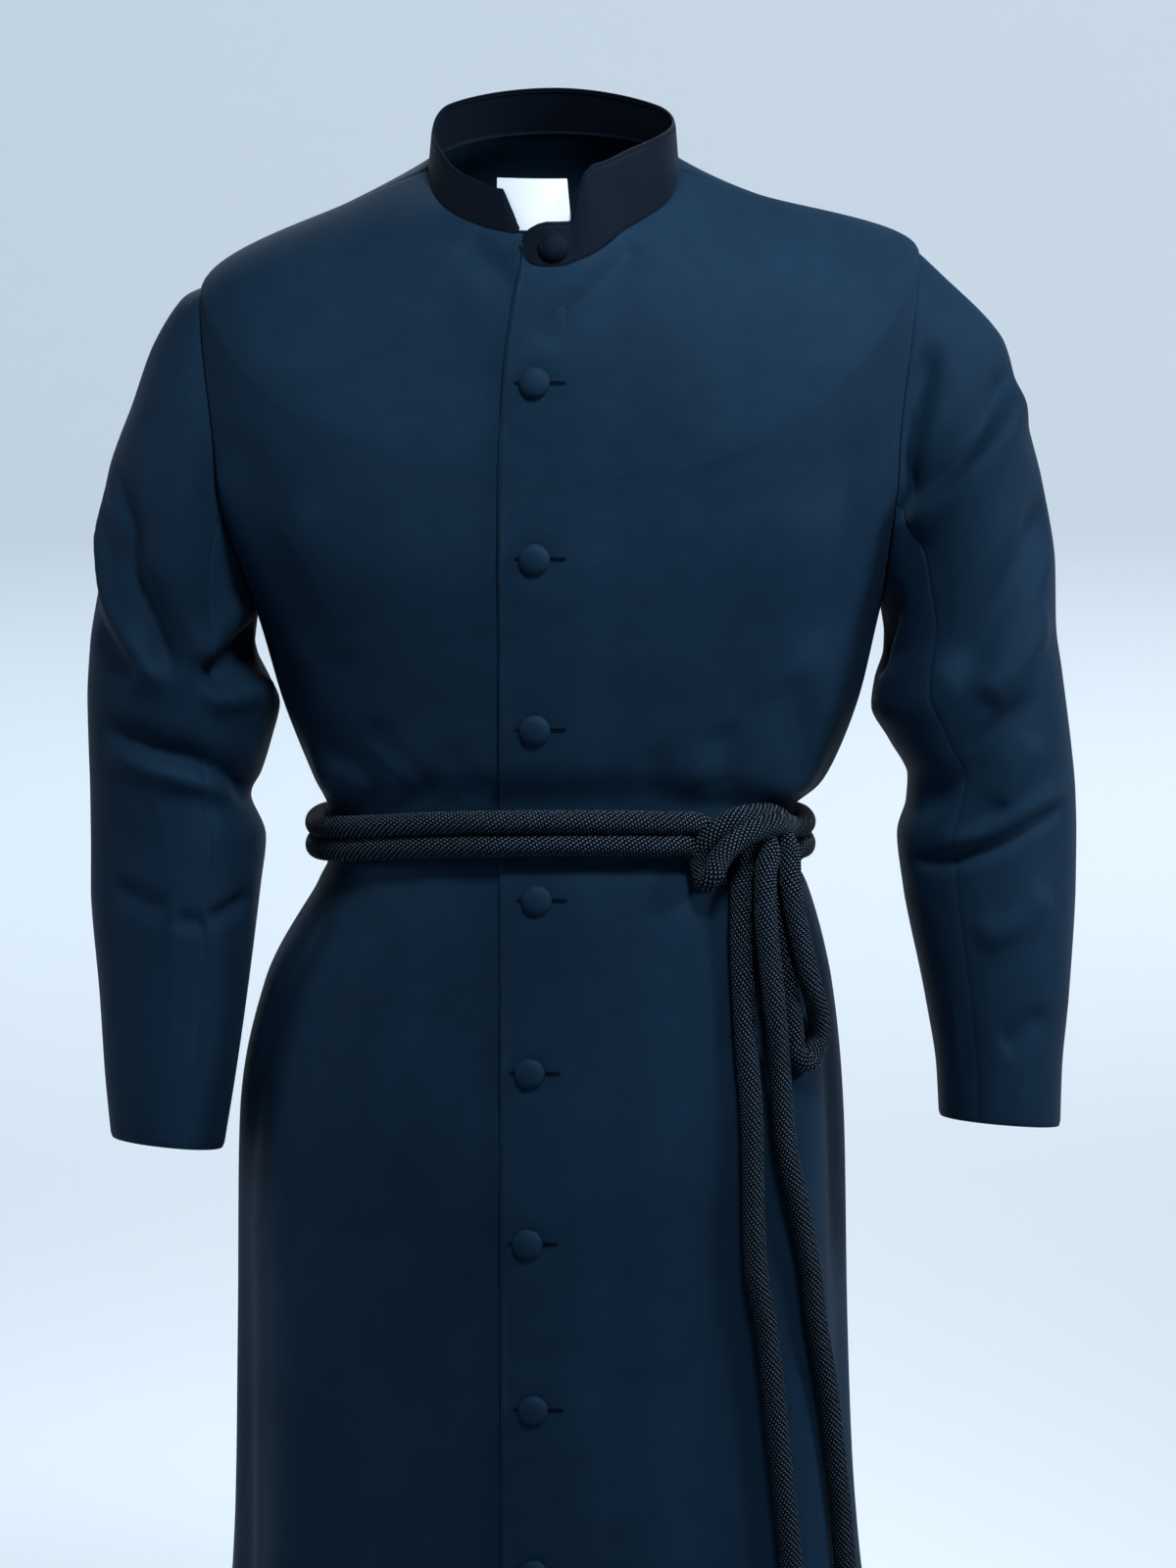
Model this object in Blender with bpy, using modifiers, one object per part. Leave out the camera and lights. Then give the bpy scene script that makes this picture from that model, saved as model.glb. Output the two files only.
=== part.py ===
"""A full-length cassock of dark cloth with its rope cincture, standing as worn.

Metres, +Z up. The garment faces -Y, so +X is the wearer's left. The origin is the
middle of the neck, at the height where the shoulder seams meet the collar.

The body is one surface, read at an angle round it (-90 front centre, 0 the wearer's
left side, 90 back centre, 180 the right side) and at a level down it (0 the neckline,
15 the hem). The front, back and collar pieces are cut from that surface, and each
sleeve is a loft from the loop of its armhole to its cuff. A cloth piece is a wall of
one thickness between its outer points and the same points moved inwards.
"""

import math

import bmesh
import bpy
import numpy as np
from mathutils import Vector

# Driving sizes
CLOTH = 0.0015
SEAM_GAP = 0.0003
LAP_GAP = 0.0005
REST_GAP = 0.0006
ROPE_RADIUS = 0.0075
BUTTON_RADIUS = 0.010
BUTTON_HEIGHT = 0.0058
BUTTON_MERGE = 0.00005
TAB_THICKNESS = 0.001
KNOT_RADIUS = 0.016

# Levels of the body: half widths and heights at each side, depths and heights at
# the front and back centre, the squareness of the ring and how its height droops
BODY_COLUMNS = (
    "plus_x", "plus_z", "minus_x", "minus_z", "front_y", "front_z", "back_y", "back_z",
    "square", "droop",
)
BODY_LEVELS = {
    "neckline": (0.083, 0.000, 0.083, 0.000, 0.085, -0.036, 0.062, 0.020, 2.0, 0.8),
    "yoke": (0.135, -0.017, 0.135, -0.022, 0.103, -0.085, 0.088, -0.020, 2.1, 1.2),
    "shoulder": (0.242, -0.053, 0.234, -0.077, 0.122, -0.190, 0.113, -0.150, 2.6, 1.5),
    "mid_armhole": (0.250, -0.160, 0.245, -0.170, 0.124, -0.245, 0.115, -0.215, 2.6, 1.5),
    "underarm": (0.220, -0.290, 0.200, -0.295, 0.122, -0.300, 0.110, -0.290, 2.5, 1.5),
    "ribs": (0.205, -0.357, 0.183, -0.357, 0.118, -0.342, 0.104, -0.360, 2.4, 1.5),
    "blouse": (0.182, -0.412, 0.164, -0.408, 0.116, -0.378, 0.100, -0.410, 2.3, 1.5),
    "waist_top": (0.162, -0.4335, 0.154, -0.4335, 0.107, -0.4085, 0.094, -0.4445, 2.2, 1.5),
    "waist_foot": (0.162, -0.4645, 0.154, -0.4645, 0.107, -0.4395, 0.094, -0.4755, 2.2, 1.5),
    "below_belt": (0.172, -0.485, 0.162, -0.485, 0.113, -0.461, 0.100, -0.496, 2.25, 1.5),
    "hip": (0.190, -0.554, 0.199, -0.554, 0.124, -0.540, 0.118, -0.560, 2.3, 1.5),
    "seat": (0.199, -0.645, 0.217, -0.645, 0.134, -0.640, 0.130, -0.648, 2.4, 1.5),
    "thigh": (0.2035, -0.800, 0.221, -0.800, 0.142, -0.800, 0.142, -0.800, 2.3, 1.5),
    "knee": (0.213, -0.982, 0.2263, -0.982, 0.152, -0.982, 0.155, -0.982, 2.3, 1.5),
    "calf": (0.268, -1.200, 0.262, -1.200, 0.170, -1.200, 0.178, -1.200, 2.2, 1.5),
    "hem": (0.313, -1.420, 0.300, -1.420, 0.190, -1.420, 0.205, -1.420, 2.15, 1.5),
}
LEVEL_NAMES = tuple(BODY_LEVELS)
HEM_LEVEL = float(LEVEL_NAMES.index("hem"))
YOKE_LEVEL = float(LEVEL_NAMES.index("yoke"))
SHOULDER_LEVEL = float(LEVEL_NAMES.index("shoulder"))
UNDERARM_LEVEL = float(LEVEL_NAMES.index("underarm"))
WAIST_LEVEL = LEVEL_NAMES.index("waist_top") + 0.5

# Soft folds that fall from the waist and grow to the hem
FLUTE_COLUMNS = ("angle", "half_width", "height", "start_level")
FLUTES = (
    (-38, 17, 0.016, 9.0), (-64, 10, -0.007, 10.0), (-14, 13, -0.012, 9.5),
    (8, 15, 0.016, 12.0), (34, 14, -0.012, 9.5), (58, 15, 0.016, 9.0),
    (90, 17, -0.013, 9.0), (122, 15, 0.017, 9.0), (147, 13, -0.012, 9.5),
    (172, 14, 0.015, 12.0), (196, 12, -0.011, 9.5), (221, 16, 0.014, 9.0),
    (246, 9, -0.006, 10.0),
)

# Folds of the cloth that blouses over the belt
GATHER_COLUMNS = ("angle", "half_width", "height", "level", "half_span")
GATHERS = (
    (-28, 13, 0.006, 6.0, 0.9), (-58, 10, 0.003, 6.1, 0.8), (-125, 11, 0.004, 6.0, 0.8),
    (-155, 12, 0.006, 6.0, 0.9), (40, 14, 0.006, 6.0, 0.9), (75, 12, -0.004, 5.9, 0.9),
    (105, 13, 0.006, 6.0, 0.9), (140, 13, -0.004, 5.8, 0.9),
)

# Armholes: how far round the body each opening reaches at its widest
ARMHOLE_REACH = 28.0
ARMHOLE_ROUNDNESS = 0.6

# Columns of the fronts beside the closing edge, at the neckline and lower down
LAP_COLUMNS = ("neck_x", "lower_x")
LAP_LINES = (
    (-0.0185, -0.0355), (-0.0146, -0.0250), (-0.0100, -0.0120), (-0.0040, 0.0000),
    (0.0040, 0.0120), (0.0120, 0.0260), (0.0206, 0.0450), (0.0300, 0.0650),
    (0.0450, 0.0850),
)
UNDERLAP_EDGE = 4
LAP_FLAT_X = 0.012
LAP_FADE_X = 0.045

# The overlapping front's neck seam dips round the collar button
NECK_DIP_COLUMNS = ("x", "level")
NECK_DIP = (
    (-0.0185, 0.12), (-0.0146, 0.34), (-0.0100, 0.42), (-0.0040, 0.44), (0.0040, 0.43),
    (0.0120, 0.37), (0.0206, 0.30), (0.0300, 0.20), (0.0450, 0.05), (0.0600, 0.0),
)

# Turns round each armhole from the shoulder to under the arm, with the place where
# the sleeve's two pieces are seamed
SLEEVE_SEAM_TURN = 115.0
TOP_STEPS = 6
UNDER_STEPS = 4
ARMHOLE_TURNS = np.concatenate(
    (
        np.linspace(0.0, SLEEVE_SEAM_TURN, TOP_STEPS + 1),
        np.linspace(SLEEVE_SEAM_TURN, 180.0, UNDER_STEPS + 1)[1:],
    )
)

# Rows of the body pieces, as levels
ARMHOLE_LEVELS = SHOULDER_LEVEL + (UNDERARM_LEVEL - SHOULDER_LEVEL) * ARMHOLE_TURNS / 180.0
BODY_ROWS = (
    [0.0, 0.5, 1.0, 1.5]
    + list(ARMHOLE_LEVELS)
    + [4.5, 5.0, 5.5, 6.0, 6.5, 7.0]
    + [8.0 + 0.5 * step for step in range(15) if step != 1]
)
SIDE_COLUMNS = 5
BACK_COLUMNS = 17

# Collar band: height of its top edge by angle, and its half width and depths there
FRONT_CENTRE = -90.0
COLLAR_TOP_X = 0.0805
COLLAR_TOP_FRONT_Y = 0.080
COLLAR_TOP_BACK_Y = 0.052
COLLAR_TOP_COLUMNS = ("angle", "height")
COLLAR_TOP = (
    (-103, 0.0065), (-90, 0.0065), (-70.5, 0.0094), (-49.4, 0.0185), (-24.8, 0.0255),
    (0, 0.031), (30, 0.040), (90, 0.050), (150, 0.041), (180, 0.0265), (201, 0.0143),
    (218, 0.0031), (231, -0.0019), (241, -0.0062), (246, -0.0070), (258, -0.0070),
)

# Share of the full band height that is left at each angle, notched at the front
COLLAR_SHARE_COLUMNS = ("angle", "share")
COLLAR_SHARES = (
    (-102.9, 0.02), (-100.2, 0.10), (-96.9, 0.17), (-92.8, 0.21), (-81.7, 0.21),
    (-80.1, 0.47), (-78.6, 0.70), (-75.6, 0.90), (-71.1, 1.0),
    (246.0, 1.0), (247.6, 0.86), (251.0, 0.52), (254.6, 0.12),
)
COLLAR_ROWS = 4
COLLAR_LEAST_TURN = 0.6
BAND_FRONT_PART = 4

# White insert of the collar, between two places across the front
TAB_LEFT_X = -0.0385
TAB_RIGHT_X = 0.0128
TAB_TOP_Z = -0.0005
TAB_FOOT_Z = -0.0335
TAB_GAP = 0.0017
TAB_COLUMNS = 7
TAB_ROWS = 3

# Buttons down the front: place across and height of each
BUTTON_COLUMNS = ("x", "z")
COLLAR_BUTTON = (0.0006, -0.0428)
FRONT_BUTTONS = (
    (-0.0120, -0.128), (-0.0120, -0.241), (-0.0120, -0.355), (-0.0113, -0.470),
    (-0.0160, -0.584), (-0.0176, -0.699), (-0.0141, -0.813), (-0.0141, -0.927),
    (-0.0141, -1.041), (-0.0141, -1.155),
)
BUTTON_STEPS = 12
BUTTON_PROFILE = ((0.95, 0.0), (1.0, 0.32), (0.74, 0.8))

# Sleeve sections from the armhole to the cuff: outer and inner points seen from the
# front, the middle's place in depth, half the depth and the squareness of the ring
SLEEVE_COLUMNS = (
    "outer_x", "outer_z", "inner_x", "inner_z", "middle_y", "half_depth", "square",
)
LEFT_SLEEVE = (
    (0.2420, -0.0530, 0.2200, -0.2900, 0.000, 0.075, 2.1),
    (0.2600, -0.0700, 0.2205, -0.2970, 0.000, 0.077, 2.1),
    (0.3000, -0.1130, 0.2215, -0.3050, 0.000, 0.080, 2.1),
    (0.3098, -0.1480, 0.2225, -0.3150, -0.001, 0.082, 2.1),
    (0.3270, -0.2087, 0.2220, -0.3270, -0.002, 0.082, 2.1),
    (0.3363, -0.2630, 0.2165, -0.3450, -0.003, 0.081, 2.2),
    (0.3376, -0.3038, 0.2145, -0.3620, -0.005, 0.080, 2.2),
    (0.3420, -0.3350, 0.2265, -0.3840, -0.007, 0.078, 2.2),
    (0.3490, -0.3855, 0.2395, -0.4085, -0.010, 0.075, 2.2),
    (0.3523, -0.4165, 0.2385, -0.4250, -0.012, 0.072, 2.2),
    (0.3535, -0.4500, 0.2325, -0.4480, -0.015, 0.070, 2.2),
    (0.3531, -0.4850, 0.2370, -0.4850, -0.021, 0.067, 2.2),
    (0.3494, -0.5540, 0.2515, -0.5540, -0.030, 0.060, 2.2),
    (0.3449, -0.6050, 0.2600, -0.6050, -0.038, 0.056, 2.2),
    (0.3438, -0.6438, 0.2617, -0.6370, -0.045, 0.052, 2.2),
)
RIGHT_SLEEVE = (
    (-0.2340, -0.0770, -0.2000, -0.2950, 0.000, 0.075, 2.1),
    (-0.2460, -0.0830, -0.2005, -0.3020, 0.000, 0.077, 2.1),
    (-0.2660, -0.1135, -0.2015, -0.3100, 0.000, 0.080, 2.1),
    (-0.2810, -0.1540, -0.2025, -0.3200, -0.001, 0.082, 2.1),
    (-0.2995, -0.2087, -0.2000, -0.3310, -0.002, 0.082, 2.1),
    (-0.3036, -0.2630, -0.1925, -0.3450, -0.003, 0.081, 2.2),
    (-0.3125, -0.3175, -0.1860, -0.3600, -0.005, 0.080, 2.2),
    (-0.3150, -0.3570, -0.1915, -0.3830, -0.007, 0.078, 2.2),
    (-0.3145, -0.3900, -0.1985, -0.4050, -0.010, 0.075, 2.2),
    (-0.3140, -0.4165, -0.2060, -0.4220, -0.012, 0.072, 2.2),
    (-0.3140, -0.4500, -0.1960, -0.4500, -0.015, 0.070, 2.2),
    (-0.3142, -0.4850, -0.2000, -0.4850, -0.021, 0.067, 2.2),
    (-0.3090, -0.5540, -0.2090, -0.5540, -0.030, 0.060, 2.2),
    (-0.3056, -0.6100, -0.2165, -0.6050, -0.038, 0.056, 2.2),
    (-0.3017, -0.6510, -0.2257, -0.6600, -0.045, 0.052, 2.2),
)
SLEEVE_HEAD_SECTIONS = 4
CUFF_LEAN = 0.2
SLEEVE_ROWS = [float(row) for row in range(12)] + [11.5, 12.0, 12.5, 13.0, 13.5, 14.0]

# Largest creases on the sleeve fronts: a line seen from the front, the trough along
# it and the roll of cloth below it
CREASE_COLUMNS = ("points", "depth", "half_width", "roll", "roll_distance")
CREASE_FADE_FACING = 0.5
CREASE_START_SECTION = 1.5
LEFT_CREASES = (
    (((0.262, -0.118), (0.256, -0.146), (0.2370, -0.179), (0.2210, -0.223)), 0.012, 0.012, 0.006, 0.022),
    (((0.3140, -0.240), (0.2980, -0.300), (0.2600, -0.345)), 0.008, 0.016, 0.004, 0.03),
)
RIGHT_CREASES = (
    (((-0.2680, -0.272), (-0.2330, -0.330), (-0.2000, -0.290)), 0.012, 0.013, 0.006, 0.024),
    (((-0.3000, -0.358), (-0.2600, -0.372), (-0.2080, -0.396)), 0.008, 0.015, 0.004, 0.028),
)

# Waist strands: where each leaves and comes back to the knot, as angles
STRAND_POINTS = 37
STRAND_RISE_X = -0.066
STRAND_LIFTED_X = -0.042
UPPER_STRAND = (-57.0, -378.4)
LOWER_STRAND = (-59.5, -376.0)

# Routes of the knot and of the free ends: across, height and distance off the cloth
ROUTE_COLUMNS = ("x", "z", "out")
KNOT_ROUTE = (
    (0.1602, -0.4368, 0.0081), (0.1568, -0.4335, 0.0100), (0.1512, -0.4288, 0.0160),
    (0.1432, -0.4262, 0.0215),
    (0.1283, -0.4285, 0.0240), (0.1170, -0.4350, 0.0245), (0.1092, -0.4440, 0.0240),
    (0.1048, -0.4535, 0.0202), (0.1000, -0.4585, 0.0135), (0.0975, -0.4500, 0.0088),
    (0.0985, -0.4390, 0.0081), (0.1050, -0.4295, 0.0081), (0.1140, -0.4245, 0.0081),
    (0.1200, -0.4236, 0.0081),
)
TAIL_A_ROUTE = (
    (0.1293, -0.4380, 0.0105), (0.1248, -0.4585, 0.0090), (0.1243, -0.4828, 0.0081),
    (0.1241, -0.5033, 0.0081), (0.1270, -0.5600, 0.0081), (0.1316, -0.6197, 0.0081),
    (0.1344, -0.7144, 0.0081), (0.1425, -0.7638, 0.0081), (0.1516, -0.8488, 0.0081),
    (0.1594, -0.9191, 0.0081), (0.1660, -1.0000, 0.0081), (0.1710, -1.1000, 0.0100),
    (0.1745, -1.1700, 0.0130), (0.1765, -1.2200, 0.0175),
)
TAIL_B_ROUTE = (
    (0.1425, -0.4450, 0.0240), (0.1400, -0.4585, 0.0240), (0.1402, -0.4828, 0.0240),
    (0.1435, -0.5180, 0.0210), (0.1470, -0.5500, 0.0190), (0.1500, -0.5876, 0.0110),
    (0.1547, -0.6403, 0.0081), (0.1631, -0.6795, 0.0081), (0.1722, -0.7280, 0.0081),
    (0.1761, -0.7613, 0.0081), (0.1853, -0.8185, 0.0081), (0.1933, -0.8869, 0.0081),
    (0.1971, -0.9240, 0.0081), (0.2030, -1.0000, 0.0081), (0.2090, -1.0900, 0.0110),
    (0.2120, -1.1400, 0.0140), (0.2140, -1.1750, 0.0175),
)
LOOP_ROUTE = (
    (0.1565, -0.4470, 0.0235), (0.1572, -0.4650, 0.0240), (0.1612, -0.4907, 0.0225),
    (0.1703, -0.5296, 0.0215), (0.1767, -0.5560, 0.0135), (0.1776, -0.5752, 0.0081),
    (0.1700, -0.5870, 0.0081), (0.1612, -0.5780, 0.0081), (0.1583, -0.5550, 0.0081),
    (0.1540, -0.5250, 0.0081), (0.1500, -0.4980, 0.0081), (0.1470, -0.4740, 0.0082),
    (0.1455, -0.4560, 0.0082),
)
KNOT_STEPS = 3
TAIL_STEPS = 2
ROPE_ROUNDNESS = 2
END_KNOT_SEGMENTS = 12
END_KNOT_RINGS = 7

# How closely a place on the cloth is found, and how far apart a surface is read to
# tell which way it faces
BISECTIONS = 30
SEATING_ROUNDS = 8
BODY_TURN = 1.0
BODY_DROP = 0.03
SLEEVE_TURN = 2.0
SLEEVE_DROP = 0.05

# Finish of each material: colour, roughness
MATERIALS = {
    "cloth": ((0.012, 0.020, 0.035), 0.65),
    "button_cloth": ((0.012, 0.020, 0.033), 0.60),
    "tab": ((0.90, 0.90, 0.88), 0.35),
    "rope": ((0.008, 0.012, 0.022), 0.70),
}


def named(columns, row):
    """One row of a table as names and values."""
    return dict(zip(columns, row))


def read(columns, rows, place):
    """The second column of a table at places given in its first."""
    first, second = (np.array([named(columns, row)[name] for row in rows]) for name in columns)
    return np.interp(place, first, second)


def unit(vectors):
    """Vectors made one metre long."""
    length = np.linalg.norm(vectors, axis=-1, keepdims=True)
    return vectors / np.maximum(length, 1e-12)


def smooth_step(value):
    """Zero below 0, one above 1 and a soft rise between."""
    value = np.clip(value, 0.0, 1.0)
    return value * value * (3.0 - 2.0 * value)


def along(rows, position):
    """The rows of a table at places between them, blended with no overshoot."""
    values = np.asarray(rows, dtype=float)
    steps = np.diff(values, axis=0)
    agree = steps[:-1] * steps[1:] > 0.0
    total = np.where(agree, steps[:-1] + steps[1:], 1.0)
    inner = np.where(agree, 2.0 * steps[:-1] * steps[1:] / total, 0.0)
    slopes = np.vstack((steps[:1], inner, steps[-1:]))
    position = np.clip(np.asarray(position, dtype=float), 0.0, len(values) - 1.0)
    row = np.minimum(position.astype(int), len(values) - 2)
    part = (position - row)[..., None]
    square = part * part
    cube = square * part
    return (
        (2 * cube - 3 * square + 1) * values[row]
        + (cube - 2 * square + part) * slopes[row]
        + (3 * square - 2 * cube) * values[row + 1]
        + (cube - square) * slopes[row + 1]
    )


def body_sizes(level):
    """The body table's columns at a level, by name."""
    sizes = along(list(BODY_LEVELS.values()), level)
    return {name: sizes[..., column] for column, name in enumerate(BODY_COLUMNS)}


def signed_power(value, power):
    """A power that keeps the sign."""
    return np.sign(value) * np.abs(value) ** power


def body_form(angle, level):
    """Points of the body surface before its folds."""
    angle, level = np.broadcast_arrays(np.asarray(angle, float), np.asarray(level, float))
    size = body_sizes(level)
    across, forward = np.cos(np.radians(angle)), np.sin(np.radians(angle))
    left, front = across >= 0.0, forward < 0.0
    power = 2.0 / size["square"]
    half_width = np.where(left, size["plus_x"], size["minus_x"])
    depth = np.where(front, size["front_y"], size["back_y"])
    side_z = np.where(left, size["plus_z"], size["minus_z"])
    centre_z = np.where(front, size["front_z"], size["back_z"])
    reach = np.abs(forward) ** size["droop"]
    return np.stack(
        (
            half_width * signed_power(across, power),
            depth * signed_power(forward, power),
            side_z + (centre_z - side_z) * reach,
        ),
        axis=-1,
    )


def body_normal(surface, angle, level):
    """Directions that point out of a surface read by angle and level."""
    round_it = surface(angle + BODY_TURN, level) - surface(angle - BODY_TURN, level)
    down_it = surface(angle, level + BODY_DROP) - surface(angle, level - BODY_DROP)
    return unit(np.cross(down_it, round_it))


def bump(angle, middle, half_width):
    """One at the middle angle, falling softly to nothing at half a width away."""
    apart = (angle - middle + 180.0) % 360.0 - 180.0
    return np.cos(np.clip(apart / half_width, -1.0, 1.0) * math.pi / 2.0) ** 2


def body_folds(angle, level):
    """How far the folds stand out of the body surface."""
    height = np.zeros(np.broadcast(angle, level).shape)
    for row in FLUTES:
        fold = named(FLUTE_COLUMNS, row)
        start = fold["start_level"]
        grown = smooth_step((level - start) / (HEM_LEVEL - start))
        height = height + fold["height"] * grown * bump(angle, fold["angle"], fold["half_width"])
    for row in GATHERS:
        fold = named(GATHER_COLUMNS, row)
        near = smooth_step(1.0 - np.abs(level - fold["level"]) / fold["half_span"])
        height = height + fold["height"] * near * bump(angle, fold["angle"], fold["half_width"])
    return height


def body(angle, level):
    """Points of the body surface with its folds."""
    normal = body_normal(body_form, angle, level)
    return body_form(angle, level) + normal * body_folds(angle, level)[..., None]


def angle_at_x(x, level):
    """The angle of the front surface's point at a place across the body."""
    size = body_sizes(level)
    half_width = np.where(x >= 0.0, size["plus_x"], size["minus_x"])
    across = (np.abs(x) / half_width) ** (size["square"] / 2.0)
    return -np.degrees(np.arccos(np.sign(x) * np.clip(across, 0.0, 1.0)))


def armhole_angle(level):
    """How far round from the side the armhole's edge lies at a level."""
    share = (level - SHOULDER_LEVEL) / (UNDERARM_LEVEL - SHOULDER_LEVEL)
    open_part = np.sin(np.clip(share, 0.0, 1.0) * math.pi)
    return ARMHOLE_REACH * np.maximum(open_part, 0.0) ** ARMHOLE_ROUNDNESS


def seam_turn(angle, level):
    """Half a seam's gap as an angle round the body."""
    stretch = np.linalg.norm(body(angle + BODY_TURN, level) - body(angle, level), axis=-1)
    return BODY_TURN * SEAM_GAP / 2.0 / stretch


def side_edges(level, side):
    """Angles of the front's and back's edges at a side seam, 1 for the left side."""
    middle = 0.0 if side > 0 else 180.0
    reach = armhole_angle(level) + seam_turn(middle, level)
    if side > 0:
        return -reach, reach
    return reach - 180.0, 180.0 - reach


def armhole_loop(turn, side):
    """The armhole's edge: 0 at the shoulder, 90 at the front, 180 under the arm."""
    turn = np.asarray(turn, dtype=float) % 360.0
    front = turn <= 180.0
    share = np.where(front, turn, 360.0 - turn) / 180.0
    level = SHOULDER_LEVEL + (UNDERARM_LEVEL - SHOULDER_LEVEL) * share
    front_edge, back_edge = side_edges(level, side)
    angle = np.where(front, front_edge, back_edge)
    return body(angle, level), body_normal(body, angle, level)


def sleeve_frame(table, section):
    """Middle, half sizes and directions of a sleeve's section."""
    sizes = along(table, section)
    size = {name: sizes[..., column] for column, name in enumerate(SLEEVE_COLUMNS)}
    outer = np.stack((size["outer_x"], size["middle_y"], size["outer_z"]), axis=-1)
    inner = np.stack((size["inner_x"], size["middle_y"], size["inner_z"]), axis=-1)
    middle = (outer + inner) / 2.0
    across = unit(outer - inner)
    half_width = np.linalg.norm(outer - inner, axis=-1) / 2.0
    lean = CUFF_LEAN * np.asarray(section, dtype=float) / (len(table) - 1.0)
    forward = unit(np.stack((np.zeros_like(lean), -np.ones_like(lean), lean), axis=-1))
    return middle, across, forward, half_width, size["half_depth"], size["square"]


def line_distance(points, line):
    """Signed distance of points from a line of points, plus on its lower side."""
    nearest = np.full(points.shape[:-1], np.inf)
    signed = np.zeros(points.shape[:-1])
    for start, end in zip(line[:-1], line[1:]):
        start, end = np.array(start), np.array(end)
        run = end - start
        place = np.clip(((points - start) @ run) / (run @ run), 0.0, 1.0)
        apart = points - (start + place[..., None] * run)
        distance = np.linalg.norm(apart, axis=-1)
        closer = distance < nearest
        nearest = np.where(closer, distance, nearest)
        signed = np.where(closer, distance * -np.sign(apart[..., 1]), signed)
    return signed


def crease_heights(points, creases):
    """How far creases lift or sink points, seen from the front."""
    height = np.zeros(points.shape[:-1])
    for row in creases:
        crease = named(CREASE_COLUMNS, row)
        distance = line_distance(points[..., ::2], crease["points"])
        trough = np.exp(-((distance / crease["half_width"]) ** 2))
        roll_place = (distance - crease["roll_distance"]) / crease["half_width"]
        height = height - crease["depth"] * trough
        height = height + crease["roll"] * np.exp(-(roll_place**2))
    return height


def sleeve_form(table, side, turn, section):
    """Points of a sleeve before its creases."""
    turn, section = np.broadcast_arrays(np.asarray(turn, float), np.asarray(section, float))
    middle, across, forward, half_width, half_depth, square = sleeve_frame(table, section)
    start = sleeve_frame(table, np.zeros_like(section))
    loop, _ = armhole_loop(turn, side)
    from_start = loop - start[0]
    axis = np.cross(across, forward)
    start_axis = np.cross(start[1], start[2])
    loop_across = np.sum(from_start * start[1], axis=-1) * half_width / start[3]
    loop_forward = np.sum(from_start * start[2], axis=-1) * half_depth / start[4]
    loop_along = np.sum(from_start * start_axis, axis=-1)
    round_across = half_width * signed_power(np.cos(np.radians(turn)), 2.0 / square)
    round_forward = half_depth * signed_power(np.sin(np.radians(turn)), 2.0 / square)
    grown = smooth_step(section / SLEEVE_HEAD_SECTIONS)
    return (
        middle
        + across * (loop_across + (round_across - loop_across) * grown)[..., None]
        + forward * (loop_forward + (round_forward - loop_forward) * grown)[..., None]
        + axis * (loop_along * (1.0 - grown))[..., None]
    )


def sleeve_normal(surface, side, turn, section):
    """Directions that point out of a sleeve."""
    round_it = surface(turn + SLEEVE_TURN, section) - surface(turn - SLEEVE_TURN, section)
    down_it = surface(turn, section + SLEEVE_DROP) - surface(turn, section - SLEEVE_DROP)
    return unit(side * np.cross(round_it, down_it))


def sleeve(table, creases, side, turn, section):
    """Points of a sleeve with its creases, which start off the armhole seam."""
    def form(at_turn, at_section):
        return sleeve_form(table, side, at_turn, at_section)

    points = form(turn, section)
    normal = sleeve_normal(form, side, turn, section)
    facing = np.clip(-normal[..., 1] / CREASE_FADE_FACING, 0.0, 1.0)
    grown = smooth_step(section / CREASE_START_SECTION)
    return points + normal * (crease_heights(points, creases) * facing * grown)[..., None]


def armhole_seam(table, creases, side, turn):
    """Wall directions of body and sleeve on the armhole seam, and the gap between."""
    def surface(at_turn, at_section):
        return sleeve(table, creases, side, at_turn, at_section)

    start = np.zeros_like(turn)
    _, body_out = armhole_loop(turn, side)
    sleeve_out = sleeve_normal(surface, side, turn, start)
    alike = (1.0 + np.sum(body_out * sleeve_out, axis=-1, keepdims=True)) / 2.0
    outwards = unit(surface(turn, start + SLEEVE_DROP) - surface(turn, start))
    gap = SEAM_GAP * unit(outwards * alike + body_out * (1.0 - alike))
    return unit(body_out + alike * sleeve_out), unit(sleeve_out + alike * body_out), gap


def material(name):
    """A Principled material with a named finish."""
    found = bpy.data.materials.get(name)
    if found:
        return found
    colour, roughness = MATERIALS[name]
    made = bpy.data.materials.new(name)
    made.use_nodes = True
    shader = made.node_tree.nodes["Principled BSDF"]
    shader.inputs["Base Color"].default_value = (*colour, 1.0)
    shader.inputs["Roughness"].default_value = roughness
    made.diffuse_color = (*colour, 1.0)
    return made


def place(name, data, finish):
    """An object of the garment in its collection."""
    made = bpy.data.objects.new(name, data)
    data.materials.append(material(finish))
    GARMENT.objects.link(made)
    return made


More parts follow.
